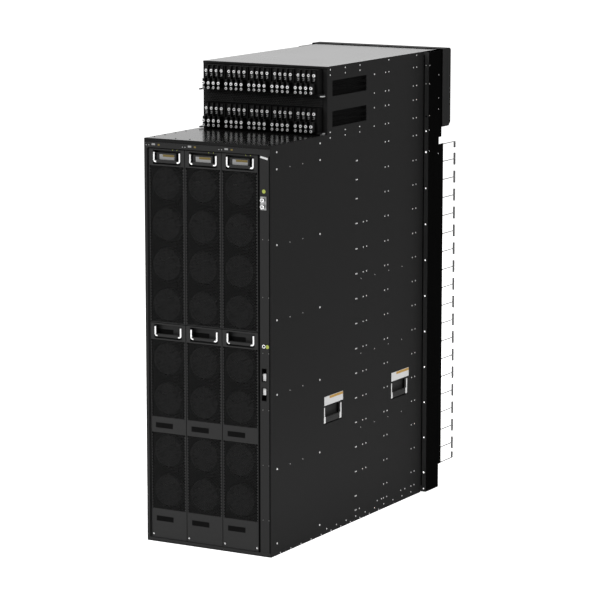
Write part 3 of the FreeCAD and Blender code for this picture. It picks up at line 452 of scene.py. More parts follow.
# %% [markdown]
# ## Perforated grilles
# The windows of the six fan trays are closed by a thin sheet with a honeycomb of holes. A texture with holes
# would look flat from the side, so the sheet is real: one six-sided cell is inset, its middle is taken out,
# the ring is marched along and up, merged, trimmed to the window by four cutting planes, and thickened.

# %% March a cell into a honeycomb
CUT_SLACK = 1e-4


def march(bm, geom, step, count):
    """Repeat geometry in equal steps, and return all of it."""
    everything, latest = list(geom), list(geom)
    for _ in range(count - 1):
        latest = bmesh.ops.duplicate(bm, geom=latest)["geom"]
        shift(bm, step, latest)
        everything += latest
    return everything


def add_honeycomb(bm, low, high, front, pitch, web, thick):
    """Honeycomb sheet over a window in XZ, its front at a level of Y."""
    part = bmesh.new()
    rise = pitch * sqrt(3) / 2
    bmesh.ops.create_circle(part, cap_ends=True, radius=pitch / sqrt(3), segments=6)
    middle = part.faces[:]
    bmesh.ops.inset_individual(part, faces=middle, thickness=web / 2)
    bmesh.ops.delete(part, geom=middle, context="FACES")
    row = march(part, whole(part), (pitch, 0, 0), ceil((high[0] - low[0]) / pitch) + 2)
    pair = march(part, row, (pitch / 2, rise, 0), 2)
    march(part, pair, (0, 2 * rise, 0), ceil((high[1] - low[1]) / rise / 2) + 1)
    bmesh.ops.remove_doubles(part, verts=part.verts, dist=web / 20)
    turn_about(part, "X", pi / 2)
    shift(part, (low[0] - pitch / 2, front, low[1]))
    for point, way in (
        ((low[0], 0, 0), (-1, 0, 0)), ((high[0], 0, 0), (1, 0, 0)),
        ((0, 0, low[1]), (0, 0, -1)), ((0, 0, high[1]), (0, 0, 1)),
    ):
        bmesh.ops.bisect_plane(
            part, geom=whole(part), dist=CUT_SLACK, plane_co=point, plane_no=way, clear_outer=True
        )
    bmesh.ops.solidify(part, geom=part.faces[:], thickness=thick)
    face_out(part)
    join_into(bm, part)


# %% Layout of the tray faces
HANDLE_PANEL = 51.5
POCKET_MIDDLE = 27.5
MIDDLE_BAND = 49.0
BOTTOM_BAND = 92.0
LEFT_MARGIN, RIGHT_MARGIN = 2.0, 4.2
SILL = 2.0
TOOTHED = 5.5
TRAYS = [f"{level}_fan_tray_{column}" for level in ("upper", "lower") for column in (1, 2, 3)]


def windows_of(tray):
    """(low, high) corners in XZ of a tray's windows, from its box."""
    low, high = box_mm(tray)
    left, right = low.x + LEFT_MARGIN, high.x - RIGHT_MARGIN
    top = high.z - HANDLE_PANEL
    if tray.startswith("upper"):
        return [((left, low.z + SILL), (right, top))]
    foot = low.z + BOTTOM_BAND
    tall = (top - foot - MIDDLE_BAND) / 2
    return [((left, foot), (right, foot + tall)), ((left, top - tall), (right, top))]


for tray in TRAYS:
    face = box_mm(tray)[0].y
    grille = bmesh.new()
    for low, high in windows_of(tray):
        left, right = low[0] + TOOTHED, high[0] - TOOTHED
        add_honeycomb(grille, (left, low[1]), (right, high[1]), face + 0.2, pitch=5.0, web=0.72, thick=1.0)
    put(f"{tray}_grille", grille, "fan_side_paint", tray)

# %% [markdown]
# ## Tray shells and faces
# The CAD trays carry a simple row of bars where the real ones have that perforated sheet. So the bars go: the
# tray is copied without its front sheet, and a new sheet is put in front, cut from a grid whose lines lie
# on the edges of the windows and of the handle pocket.

# %% Cut the front off and put a pierced sheet there
POCKET_HALF = 48.8
POCKET_HEIGHTS = (47.2, 4.25)
FACE_SHEET = 1.8


def open_shell(tray, cut):
    """Copy of a CAD tray behind a level of Y, closed again at the cut."""
    bm = bmesh.new()
    bm.from_mesh(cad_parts[tray].data)
    bmesh.ops.scale(bm, verts=bm.verts, vec=(1 / MM, 1 / MM, 1 / MM))
    bmesh.ops.remove_doubles(bm, verts=bm.verts, dist=0.01)
    rim = bmesh.ops.bisect_plane(
        bm, geom=whole(bm), dist=CUT_SLACK, plane_co=(0, cut, 0), plane_no=FAN_SIDE, clear_outer=True
    )["geom_cut"]
    bmesh.ops.triangle_fill(bm, edges=edges_of(rim), use_beauty=True, normal=FAN_SIDE)
    return bm


def pierced_sheet(across, up, holes, front, thick):
    """Sheet in XZ from a grid with given lines, without the cells in the holes."""
    bm = bmesh.new()
    columns, rows = len(across) - 1, len(up) - 1
    for vert in bmesh.ops.create_grid(bm, x_segments=columns, y_segments=rows, size=0.5)["verts"]:
        column, row = round((vert.co.x + 0.5) * columns), round((vert.co.y + 0.5) * rows)
        vert.co = (across[column], front, up[row])
    gone = []
    for face in bm.faces:
        at = face.calc_center_median()
        if any(low[0] < at.x < high[0] and low[1] < at.z < high[1] for low, high in holes):
            gone.append(face)
    bmesh.ops.delete(bm, geom=gone, context="FACES")
    back = bmesh.ops.extrude_face_region(bm, geom=bm.faces[:])["geom"]
    shift(bm, (0, thick, 0), back)
    face_out(bm)
    return bm


for tray in TRAYS:
    low, high = box_mm(tray)
    middle = (low.x + high.x) / 2
    pocket = (
        (middle - POCKET_HALF, high.z - POCKET_HEIGHTS[0]), (middle + POCKET_HALF, high.z - POCKET_HEIGHTS[1])
    )
    holes = windows_of(tray) + [pocket]
    across = sorted({low.x, high.x, *(corner[0] for hole in holes for corner in hole)})
    up = sorted({low.z, high.z, *(corner[1] for hole in holes for corner in hole)})
    shell = open_shell(tray, low.y + FACE_SHEET)
    put(f"{tray}_shell", shell, "fan_side_paint", tray, [tray])
    sheet = pierced_sheet(across, up, holes, low.y, FACE_SHEET)
    put(f"{tray}_face", sheet, "fan_side_paint", tray)

# %% [markdown]
# At the sides of a window the holes end in half cells, which leaves a row of small teeth along both edges
# with dark gaps between them. A tooth is one thin block, painted lighter than its sheet as painted light,
# stamped down each edge in front of a black strip that is painted shade for the gaps.

# %% Teeth along the windows
TOOTH_PITCH = 9.1
HALF_WIDE, HALF_TALL = 1.8, 2.3
for tray in TRAYS:
    face = box_mm(tray)[0].y
    spots, shade_strips = [], bmesh.new()
    for low, high in windows_of(tray):
        count = int((high[1] - low[1]) / TOOTH_PITCH)
        levels = [low[1] + TOOTH_PITCH * (step + 0.5) for step in range(count)]
        spots += [(x, face, z) for z in levels for x in (low[0] + HALF_WIDE, high[0] - HALF_WIDE)]
        # black strips behind the teeth, painted shade in the gaps
        for start in (low[0], high[0] - TOOTHED):
            add_block(shade_strips, (start, face + 1.25, low[1]), (start + TOOTHED, face + 1.75, high[1]))
    tooth = block((-HALF_WIDE, 0.1, -HALF_TALL), (HALF_WIDE, 0.6, HALF_TALL))
    put(f"{tray}_teeth", stamped(tooth, spots), "tooth_painted_light", tray)
    put(f"{tray}_strips", shade_strips, "black_and_shade", tray)

# %% [markdown]
# ## Fans
# Behind each grille stand round fans; through the holes they read as faint discs. A housing is a short tube,
# spun from a closed outline, with a flange at the front and a cross at the back that carries the motor.

# %% Fan housings
HOUSING = [(50.8, 0.0), (56.0, 0.0), (56.0, 2.0), (52.6, 2.0), (52.6, 34.0), (50.8, 34.0)]
MOTOR = [(0.0, 31.0), (20.0, 31.0), (20.0, 34.0), (0.0, 34.0)]
HOUSING_GAP = 3.5
SPOKE = 51.5


def fan_places(tray, gap, left=0.0, up=0.0):
    """Middles of a tray's four fans, at a gap before the rotors and perhaps a little aside."""
    places = []
    for fan in (1, 2, 3, 4):
        low, high = box_mm(f"{tray.replace('fan_tray', 'rotor')}_{fan}")
        places.append(((low.x + high.x) / 2 - left, low.y - gap, (low.z + high.z) / 2 + up))
    return places


def add_cross(bm, half, foot, top):
    """Two bars that cross in a fan's ring."""
    add_block(bm, (-SPOKE, -half, foot), (SPOKE, half, top))
    add_block(bm, (-half, -SPOKE, foot), (half, SPOKE, top))


for tray in TRAYS:
    housing = turned(HOUSING, 40, closed=True)
    join_into(housing, turned(MOTOR, 24))
    add_cross(housing, 2.0, 31.2, 33.8)
    housing = stamped(housing, fan_places(tray, HOUSING_GAP), CARD_SIDE)
    put(f"{tray}_housings", housing, "black_and_shade", tray)

# %% [markdown]
# A wire guard closes each housing. Its rings lie so close that from a distance only a plain round field is
# left of the whole fan. Each ring is a small rectangle, spun once. On the real object the rings show a little
# to the left of and above the rotors, so the guards are set over by that much.

# %% Wire guards
RINGS = [6.0 + 4.0 * step for step in range(11)]
GUARD_GAP, GUARD_LEFT, GUARD_UP = 6.9, 5.0, 2.5
for tray in TRAYS:
    guard = bmesh.new()
    for radius in RINGS:
        wire = [(radius - 1, 0), (radius + 1, 0), (radius + 1, 1.2), (radius - 1, 1.2)]
        join_into(guard, turned(wire, 32, closed=True))
    add_cross(guard, 1.2, 1.2, 3.6)
    guard = stamped(guard, fan_places(tray, GUARD_GAP, GUARD_LEFT, GUARD_UP), CARD_SIDE)
    put(f"{tray}_guards", guard, "fan_plastic", tray)

# %% [markdown]
# The CAD rotor has a plain hub with four flat blades. A real wheel has more blades, and they are twisted: a
# straight line is spun and pushed back at the same time, which gives one twisted blade; it is thickened and
# repeated round the hub.

# %% Fan wheels
BLADES = 9
TWIST, TWIST_STEPS = radians(40), 4
HUB = 22.0


def fan_wheel(radius, deep, hub=HUB):
    """Hub and blades about Z, the front at z = deep / 2."""
    front, foot = deep / 2, -deep / 2
    profile = [(0, front), (hub - 4, front), (hub - 1, front - 1.5), (hub, front - 4), (hub, foot), (0, foot)]
    wheel = turned(profile, 24)
    blade = bmesh.new()
    points = [blade.verts.new((reach, 0, front - 3)) for reach in (hub - 0.5, (hub + radius) / 2, radius)]
    lines = [blade.edges.new(pair) for pair in zip(points, points[1:])]
    bmesh.ops.spin(
        blade, geom=points + lines, cent=(0, 0, 0), axis=(0, 0, 1), angle=TWIST, steps=TWIST_STEPS,
        dvec=(0, 0, -(deep - 6) / TWIST_STEPS),
    )
    bmesh.ops.solidify(blade, geom=blade.faces[:], thickness=1.2)
    face_out(blade)
    bmesh.ops.spin(
        blade, geom=whole(blade), cent=(0, 0, 0), axis=(0, 0, 1), angle=2 * pi * (BLADES - 1) / BLADES,
        steps=BLADES - 1, use_duplicate=True,
    )
    join_into(wheel, blade)
    return wheel


for rotor in [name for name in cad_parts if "_rotor_" in name]:
    low, high = box_mm(rotor)
    wheel = fan_wheel((high.x - low.x) / 2 - 0.5, high.y - low.y - 1.0)
    wheel = stamped(wheel, [(low + high) / 2], FAN_SIDE)
    put(f"{rotor}_wheel", wheel, "wheel_plastic", rotor, [rotor])

# %% [markdown]
# ## Tray handles
# Each tray has a bail handle that folds into a pocket: two bright bent rods with feet that hook inwards, and
# a black grip between the feet. The rod starts as a circle that is extruded down and spun round the corner.

# %% Bent rods and grips
ROD = 3.0
BEND = 6.0
PROUD = 2.2
FOOT_LIFT, PIVOT_DROP = 5.5, 4.0
GRIP_INSET, GRIP_TALL = 10.0, 9.5


def add_leg(bm, side, outer, low, high):
    """Rod down from the pivot, bent inwards at the foot; side is -1 or 1."""
    part = bmesh.new()
    ring = bmesh.ops.create_circle(part, cap_ends=True, radius=ROD, segments=12)["verts"]
    shift(part, (0, 0, high), ring)
    drop = bmesh.ops.extrude_edge_only(part, edges=part.edges[:])["geom"]
    shift(part, (0, 0, low + ROD + BEND - high), drop)
    edges = [edge for edge in edges_of(drop) if all(vert in verts_of(drop) for vert in edge.verts)]
    bent = bmesh.ops.spin(
        part, geom=edges, cent=(-BEND, 0, low + ROD + BEND), axis=(0, 1, 0), angle=pi / 2, steps=5
    )["geom_last"]
    foot = bmesh.ops.extrude_edge_only(part, edges=edges_of(bent))["geom"]
    shift(part, (-3.0, 0, 0), foot)
    bmesh.ops.holes_fill(part, edges=part.edges[:], sides=0)
    bmesh.ops.scale(part, verts=part.verts, vec=(side, 1, 1))
    shift(part, (side * (outer - ROD), 0, 0))
    face_out(part)
    join_into(bm, part)


for tray in TRAYS:
    handle = tray.replace("fan_tray", "tray_handle")
    low, high = box_mm(handle)
    middle = (low + high) / 2
    half = (high.x - low.x) / 2
    foot = low.z + FOOT_LIFT
    rods = bmesh.new()
    for side in (-1, 1):
        add_leg(rods, side, half - 0.1, foot, high.z - PIVOT_DROP)
    shift(rods, (middle.x, middle.y - PROUD, 0))
    put(f"{handle}_rods", rods, "handle_steel", handle, [handle])
    grip = block(
        (middle.x - half + GRIP_INSET, low.y + 0.2 - PROUD, foot),
        (middle.x + half - GRIP_INSET, high.y - 0.2 - PROUD, foot + GRIP_TALL), 2.0, 3,
    )
    put(f"{handle}_grip", grip, "fan_side_paint", handle)

# %% [markdown]
# ## Plain fields on the trays
# On the lower trays the bands below the windows and the back of the handle pocket have a small sunk field
# each. In an upper pocket stands a carrier with a grey field and an olive band, and above it are two small
# lights. All stay plain. A field is a plate whose front face is inset and pushed back, which leaves a lip.

# %% Sunk fields
def sink_face(bm, facing, lip, depth):
    """Inset the face that looks along a direction, and push it in."""
    front = [face for face in bm.faces if face.normal.dot(Vector(facing)) > 0.9]
    bmesh.ops.inset_region(bm, faces=front, thickness=lip)
    shift(bm, -depth * Vector(facing), [vert for face in front for vert in face.verts])


def add_field(bm, left, right, foot, top, back, rise, lip):
    """Plate standing on a face at y = back, with a sunk middle."""
    part = block((left, back - rise, foot), (right, back, top))
    sink_face(part, FAN_SIDE, lip, rise * 0.7)
    join_into(bm, part)


POCKET_BACK = 18.0
LED = [(0.0, 0.5), (0.9, 0.4), (1.4, 0.0)]
CARRIER = 6.2
for tray in TRAYS:
    low, high = box_mm(tray)
    middle = (low.x + high.x) / 2
    pocket = high.z - POCKET_MIDDLE
    fields = bmesh.new()
    if tray.startswith("lower"):
        band = windows_of(tray)[0][1][1] + MIDDLE_BAND / 2 - 1.7
        for level in (band, low.z + 61.5):
            add_field(fields, middle - 46, middle + 15, level - 8, level + 8, low.y, 0.5, 0.6)
        add_field(fields, middle - 46, middle + 8, pocket - 7.7, pocket + 6.3, low.y + POCKET_BACK, 0.6, 0.6)
        put(f"{tray}_fields", fields, "field_paint", tray)
    else:
        back, end = low.y + CARRIER, low.y + POCKET_BACK
        carrier = block((middle - 40, back, pocket - 9), (middle + 30, end, pocket + 15), 0.6)
        put(f"{tray}_carrier", carrier, "fan_side_paint", tray)
        add_field(fields, middle - 29, middle + 24, pocket - 5.5, pocket + 10.5, back, 0.6, 0.5)
        put(f"{tray}_fields", fields, "grey_label", tray)
        band = block((middle - 17, back - 0.7, pocket + 3.4), (middle + 23, back - 0.15, pocket + 9.9))
        put(f"{tray}_band", band, "olive_label", tray)
        leds = [(middle + 20.4, low.y, high.z - 1.6), (middle + 36.8, low.y, high.z - 1.6)]
        put(f"{tray}_leds", turned_at(leds, LED, 10), "green_dot", tray)

# %% [markdown]
# ## Lift handles
# Four folding handles lie in pockets in the sides. Each has two silver straps that widen where they take the
# grip, and a black grip. All are blocks with softened edges, laid inside the box of the CAD handle.

# %% Straps and grips in the sides
STRAP_WIDE, FOOT_WIDE = 6.5, 11.5
for handle in [f"{side}_{place}_lift_handle" for side in ("right", "left") for place in ("rear", "front")]:
    low, high = box_mm(handle)
    straps = bmesh.new()
    for end, inwards in ((low.y, 1), (high.y, -1)):
        rear, front = sorted((end, end + inwards * STRAP_WIDE))
        add_block(straps, (low.x + 0.3, rear, low.z + 18), (high.x - 0.2, front, high.z), 1.2)
        rear, front = sorted((end, end + inwards * FOOT_WIDE))
        add_block(straps, (low.x + 0.3, rear, low.z), (high.x - 0.2, front, low.z + 20), 1.6, 3)
    grip = block((low.x + 0.4, low.y + 11, low.z + 0.4), (high.x - 0.4, high.y - 11, low.z + 19.6), 2.2, 3)
    put(f"{handle}_straps", straps, "strap_steel", handle, [handle])
    put(f"{handle}_grip", grip, "grip_plastic", handle)

# %% Plain plates above the lift handles
PLATE_FOOT, PLATE_TOP = 408, 436
BAND_FOOT, BAND_TOP = 427, 435
for side, sign in SIDES:
    plates, bands = bmesh.new(), bmesh.new()
    for place in ("rear", "front"):
        rear, front = (corner.y for corner in box_mm(f"{side}_{place}_lift_handle"))
        inner, outer = sorted((sign * SKIN, sign * (SKIN + 0.3)))
        add_block(plates, (inner, rear + 1, PLATE_FOOT), (outer, front + 8, PLATE_TOP), 0.1, 1)
        inner, outer = sorted((sign * (SKIN + 0.25), sign * (SKIN + 0.45)))
        start, end = (rear + 34, front + 7) if side == "right" else (rear + 2, front - 25)
        add_block(bands, (inner, start, BAND_FOOT), (outer, end, BAND_TOP), 0.05, 1)
    put(f"{side}_handle_plates", plates, "plate_label")
    put(f"{side}_handle_plate_bands", bands, "amber_label")

# %% [markdown]
# ## Side vents
# The supplies breathe through two vents in each side. On the real object they are black perforated fields, so
# the slots of the CAD panel get a honeycomb screen in front, and the bars between the slots a black strip,
# which is painted shade behind the screen.

# %% Vent screens
VENT_REAR, VENT_FRONT = -114.0, 103.0
VENT_FEET, VENT_TALL = (1270, 1364), 48
BARS, BAR_TALL = (12, 30), 6
for side, sign in SIDES:
    screen, shade_strips = bmesh.new(), bmesh.new()
    ends = sorted((sign * VENT_REAR, sign * VENT_FRONT))
    for foot in VENT_FEET:
        low, high = (ends[0], foot), (ends[1], foot + VENT_TALL)
        add_honeycomb(screen, low, high, -SKIN - 0.7, pitch=6.0, web=1.1, thick=0.5)
        # black strips over the bars between the slots, painted shade behind the screen
        for bar in BARS:
            level = foot + bar
            add_block(shade_strips, (ends[0], -SKIN - 0.2, level), (ends[1], -SKIN + 0.1, level + BAR_TALL))
    for bm in (screen, shade_strips):
        turn_about(bm, "Z", sign * pi / 2)
    put(f"{side}_vent_screen", screen, "black_and_shade")
    put(f"{side}_vent_strips", shade_strips, "black_and_shade")

# %% [markdown]
# ## Screws and rivets
# The side sheets are held by rows of small pan heads, which are the main detail of those big plain faces. A
# head is a short profile, spun in a few steps, because it is stamped hundreds of times.

# %% Places of the side screws, as (Y, Z)
ROWS = [35, 81, 160, 240, 319, 398, 477, 556, 636, 715, 794, 873, 953, 1031, 1110, 1190]


def grid(ys, zs):
    return [(y, z) for z in zs for y in ys]


tiny = grid((-375, -297), (268, 496, 722, 949, 1177)) + grid((73, 164, 257, 349), (298, 536, 775))
small = grid((229, 251, 420, 442), ROWS) + grid((38, 45), ROWS[:14] + [1091, 1150])
small += grid((86, 108), ROWS[2:13]) + grid((155, 229, 251, 419, 441), (1247, 1305, 1351, 1410))
small += grid((250, 440), [1448])
small += [(y, z) for y in (-129, -34, 60) for z in (1238, 1255, 1430, 1446)]
small += [(-147 + 63 * step, 15) for step in range(10)] + [(-434 + 63 * step, 4) for step in range(11)]
small += grid((66, 186, 215, 348, 377), [35])
large = grid((-454, -192), (37, 268, 496, 723, 950, 1177, 1228))
print("screws on each side:", len(tiny), "tiny,", len(small), "small and", len(large), "large")

# %% Stamp the side screws
PAN_HEAD = [(0.0, 1.3), (1.3, 1.2), (2.2, 0.7), (2.4, 0.0)]
BIG_HEAD = [(0.0, 1.8), (2.0, 1.7), (3.0, 1.0), (3.3, 0.0)]
RIVET = [(0.0, 0.9), (0.9, 0.7), (1.5, 0.0)]
SCREW_KINDS = (("tiny", RIVET, tiny), ("small", PAN_HEAD, small), ("large", BIG_HEAD, large))
for side, sign in SIDES:
    for label, profile, places in SCREW_KINDS:
        spots = [(sign * SKIN, y, z) for y, z in places]
        heads = turned_at(spots, profile, 8, (sign, 0, 0))
        put(f"{side}_{label}_screws", heads, "screw_steel")

# %% Screws on the fan side
for tray in TRAYS[3:]:
    low, high = box_mm(tray)
    spots = [(low.x + 7, low.y, low.z + 11)] + [(high.x - 7, low.y, low.z + 11)] * tray.endswith("3")
    put(f"{tray}_screws", turned_at(spots, BIG_HEAD, 10), "screw_steel", tray)
low, high = box_mm("service_strip")
spots = [(x, low.y, z) for z in (114, 283, 453, 626, 795, 969) for x in (low.x + 11.6, high.x - 5.2)]
put("strip_screws", turned_at(spots, RIVET, 8), "clip_steel")

# %% [markdown]
# The step cover is held by small dark screws along its two sides and its front edge. Against the bright
# mirror image on the cover they show as dark dots, so they get the dark metal of the terminal bars.

# %% Screws of the step cover
top = box_mm("step_cover")[1].z
spots = [(sign * 208, y, top) for sign in (-1, 1) for y in (-452, -392, -332, -272)]
spots += [(x, -463, top) for x in (-125, -75, -25, 25, 75, 125)]
put("step_screws", turned_at(spots, PAN_HEAD, 8, UP), "bar_metal")

# %% [markdown]
# The cable walls are dead black, so the few screws on the flange and along the wall show, dimmer than others
# because they look away from the light.

# %% Screws of the cable walls
WALL = 241.3
for side, sign in SIDES:
    spots = [(sign * 231, EAR_FACE, z) for z in (1412, 1353)]
    heads = turned_at(spots, PAN_HEAD, 8)
    on_wall = [(sign * WALL, 494.5, z) for z in (1412, 1353, 1250, 1203, 1135)]
    on_wall += [(sign * WALL, 559, z) for z in (1377, 1301, 1265, 1120)]
    join_into(heads, turned_at(on_wall, RIVET, 8, (sign, 0, 0)))
    put(f"{side}_wall_screws", heads, "screw_steel")

# %% [markdown]
# ## Terminals
# Two rows of five blocks stand above the step, with four columns each. Every column carries bright ring heads
# with a dark socket, a flat black disc that is painted shade in the hollow of the head: two on the post in its
# lower half, and one, with a small clip below it, on the flat bar in its upper half.

# %% Terminal heads
BLOCK_PITCH, COLUMN_PITCH = 82.0, 18.1
ROW_FEET = (1255, 1372)
NUT_UP, HEAD_UP, CLIP_UP, TOP_HEAD_UP = 7.2, 21.2, 46.0, 58.2
LARGE_RING = [(0.0, 0.6), (2.0, 0.6), (2.1, 2.4), (3.9, 2.7), (5.0, 1.6), (5.2, 0.0)]
SMALL_RING = [(0.0, 0.6), (1.7, 0.6), (1.8, 2.0), (3.2, 2.2), (4.2, 1.4), (4.4, 0.0)]
LARGE_SOCKET_SHADE = [(0.0, 2.5), (2.2, 2.5), (2.25, 0.5)]
SMALL_SOCKET_SHADE = [(0.0, 2.5), (2.1, 2.5), (2.2, 0.5)]
columns = [
    (place - 2) * BLOCK_PITCH + (column - 1.5) * COLUMN_PITCH for place in range(5) for column in range(4)
]
lower_front, upper_front = box_mm("terminal_bars")[0].y, box_mm("terminal_bars")[1].y - 3.0


def in_columns(front, up):
    return [(x, front, foot + up) for foot in ROW_FEET for x in columns]


large_spots = in_columns(lower_front, HEAD_UP) + in_columns(upper_front, TOP_HEAD_UP)
small_spots = in_columns(lower_front, NUT_UP)
for name, ring, socket_shade, spots, finish in (
    ("terminal_heads", LARGE_RING, LARGE_SOCKET_SHADE, large_spots, "head_metal"),
    ("terminal_nuts", SMALL_RING, SMALL_SOCKET_SHADE, small_spots, "nut_metal"),
):
    put(name, turned_at(spots, ring, 12), finish)
    # black discs in the heads, painted shade in their sockets
    put(f"{name}_sockets", turned_at(spots, socket_shade, 8), "black_and_shade")

# %% Clips below the upper heads
clip = bmesh.new()
add_block(clip, (-3.4, -1.0, 1.2), (3.4, 0.0, 3.6), 0.6)
add_block(clip, (0.8, -1.6, -3.6), (3.4, -0.6, 2.2), 0.6)
add_block(clip, (-3.4, -1.0, -4.6), (2.0, 0.0, -2.6), 0.6)
put("terminal_clips", stamped(clip, in_columns(upper_front, CLIP_UP)), "clip_steel")

# %% [markdown]
# Between the two rows lies a black perforated band that lets air to the supplies, and at both ends of a row
# small tabs stick out. The band is the same honeycomb as before; its paint is lighter than black, painted
# light against the shade under the upper row.

# %% Air band and tabs
STEP_FACE = -146.0
band = bmesh.new()
add_honeycomb(band, (-205, 1332), (205, 1371), STEP_FACE - 2.2, pitch=6.0, web=1.0, thick=0.8)
put("air_band", band, "air_band_painted_light")
tabs, tab_plates = bmesh.new(), bmesh.new()
for foot in ROW_FEET:
    for ends in ((-212, -206), (206, 212)):
        add_block(tabs, (ends[0], STEP_FACE - 42, foot - 2), (ends[1], STEP_FACE, foot + 2), 0.4, 1)
for foot in (1250.6, 1364.5):
    add_block(tab_plates, (203, STEP_FACE - 14, foot), (213, STEP_FACE, foot + 3.5), 0.4, 1)
put("row_tabs", tabs, "inlet_plastic")
put("row_tab_plates", tab_plates, "head_metal")

# %% [markdown]
# ## Fittings on the service strip
# The narrow strip right of the trays carries the grounding studs with their nuts, the wrist strap jack and
# two sockets. Round stickers mark the first two; they are plain green here.

# %% Nuts, ring and stickers
low, high = box_mm("ground_terminal")
RING_NUT = [(3.2, 0.0), (6.0, 0.0), (6.5, 0.8), (6.5, 3.6), (5.6, 5.0), (3.6, 5.0)]
middle = (low.x + high.x) / 2
spots = [(middle, low.y + 7.0, z) for z in (1068, 1088)]
put("ground_nuts", turned_at(spots, RING_NUT, 24, closed=True), "plated_metal")
STICKER = [(0.0, 0.3), (5.6, 0.3), (6.0, 0.0)]
spots = [(198, FAN_FACE, 1113), (209, FAN_FACE, 646)]
put("ground_stickers", turned_at(spots, STICKER, 24), "green_dot")

# %% [markdown]
# The strap jack is a dark hole with a thin bright rim, and a small tag hangs aslant at the top of the strip.
# Round the trays, beside the strip and along the rack ears lie black strips, painted shadow in the gaps there.

# %% Jack rim, tag and painted shadow gaps
RIM = [(3.7, 0.0), (5.6, 0.0), (5.4, 0.5), (3.9, 0.5)]
low, high = box_mm("wrist_strap_jack")
spots = [((low.x + high.x) / 2, low.y, (low.z + high.z) / 2)]
put("jack_rim", turned_at(spots, RIM, 24, closed=True), "plated_metal")
tag = block((-13, -0.4, -3), (13, 0, 3), 0.1, 1)
turn_about(tag, "Y", radians(12))
shift(tag, (199, FAN_FACE, 1213))
put("strip_tag", tag, "pale_label")
shadow_gaps = bmesh.new()
for left, right in ((-211.2, -208.4), (178.1, 184.0), (215.6, 218.2)):
    add_block(shadow_gaps, (left, FAN_FACE - 0.3, 12), (right, FAN_FACE, 1219))
add_block(shadow_gaps, (-208.4, FAN_FACE - 0.3, 1219.2), (184.0, FAN_FACE, 1221.6))
for side, sign in SIDES:
    low, high = box_mm(f"{side}_rack_ear")
    edges = sorted((sign * 222.8, sign * 226.8))
    add_block(shadow_gaps, (edges[0], EAR_FACE - 0.4, low.z + 20), (edges[1], EAR_FACE, high.z - 10))
put("painted_shadow_gaps", shadow_gaps, "black_and_shade")
# a black strip at each tray's right edge, painted shadow in the gap beside it
for tray in TRAYS:
    low, high = box_mm(tray)
    wide = 2.0 if tray.endswith("3") else 0.9
    gap_shade = block((high.x - wide, low.y - 0.2, low.z), (high.x, low.y, high.z))
    put(f"{tray}_folds", gap_shade, "black_and_shade", tray)

# %% Small plain fields on the header
pale, amber, dots = bmesh.new(), bmesh.new(), []
for column in (1, 2, 3):
    left = box_mm(f"upper_fan_tray_{column}")[0].x
    add_block(pale, (left + 12.5, FAN_FACE - 0.2, 1229), (left + 24.5, FAN_FACE, 1234.5), 0.05, 1)
    add_block(amber, (left + 34, FAN_FACE - 0.2, 1228.5), (left + 41, FAN_FACE, 1233.5), 0.05, 1)
    dots += [(left - 7, FAN_FACE, 1229), (left + 2.5, FAN_FACE, 1229)]
put("header_pale_fields", pale, "grey_label")
put("header_amber_fields", amber, "olive_label")
put("header_screws", turned_at(dots, RIVET, 8), "screw_steel")

# %% [markdown]
# ## Cable fingers
# Both cable walls carry slim fingers that guide the cables: a thin rod with a ribbed head across its end.
# The rod is a slim block; the head is a row of small ribs on a spine.

# %% Fingers
low, high = box_mm("cable_fingers")
SLOTS, SLOT_FOOT, SLOT_TOP = 18, 74.0, 1150.0
SLOT_PITCH = (SLOT_TOP - SLOT_FOOT) / SLOTS
FINGER_X, FINGER_ROD = 240.3, 1.3
levels = [82.5] + [SLOT_FOOT + SLOT_PITCH * step for step in range(1, SLOTS)] + [1147.5]
for side, sign in SIDES:
    fingers = bmesh.new()
    for index, level in enumerate(levels):
        foot = level if index == 0 else level - 20
        top = level if index == len(levels) - 1 else level + 20
        x, half = sign * FINGER_X, FINGER_ROD
        add_block(fingers, (x - half, low.y, level - half), (x + half, high.y - 3, level + half))
        add_block(fingers, (x - 2.6, high.y - 4.6, foot), (x + 2.6, high.y - 0.4, top))
        ribs = round((top - foot) / 5)
        for rib in range(ribs):
            z = foot + (top - foot) * (rib + 0.5) / ribs
            add_block(fingers, (x - 3.0, high.y - 5, z - 1.4), (x + 3.0, high.y, z + 1.4))
    stands_for = ["cable_fingers"] if side == "right" else []
    put(f"{side}_cable_fingers", fingers, "finger_plastic", stands_for=stands_for)

# %% [markdown]
# ## Card fronts
# On the card side, eighteen card fronts lie above each other. Each has two rows of ports in bright cages.
# A port is a block whose front face is inset and pushed back, stamped along every front.

# %% Ports
port = block((-8.5, 0, -5.5), (8.5, 5, 5.5))
sink_face(port, CARD_SIDE, 1.0, 4.5)
middles = [SLOT_FOOT + SLOT_PITCH * (slot + 0.5) for slot in range(SLOTS)]
PORTS, PORT_PITCH = 19, 19
spots = [
    (PORT_PITCH * (step - PORTS // 2), CARD_FRONT, z + row)
    for z in middles for row in (-8, 8) for step in range(PORTS)
]
put("card_ports", stamped(port, spots), "zinc_sheet")

# %% [markdown]
# The solids have an ejector at both ends of each card. Beside it go a smaller lever and a screw. The lever is
# a softened block on a smaller foot, so it can be gripped from behind.

# %% Levers and card screws
lever = bmesh.new()
add_block(lever, (-3.0, 0.0, -6.0), (3.0, 6.0, 6.0), 0.6)
add_block(lever, (-5.0, 5.0, -14.0), (5.0, 9.0, 14.0), 1.2)
LEVER_X = 189
spots = [(x, CARD_FRONT, z) for z in middles for x in (-LEVER_X, LEVER_X)]
put("card_levers", stamped(lever, spots), "grip_plastic")
spots = [(x, CARD_FRONT, z + 21) for z in middles for x in (-LEVER_X, LEVER_X)]
put("card_screws", turned_at(spots, BIG_HEAD, 8, CARD_SIDE), "screw_steel")

# %% [markdown]
# Between the cards and the fans stands the board that joins all cards. It is hardly ever seen, but without it
# one could look through the whole chassis from one side to the other. A plain dark block is enough.

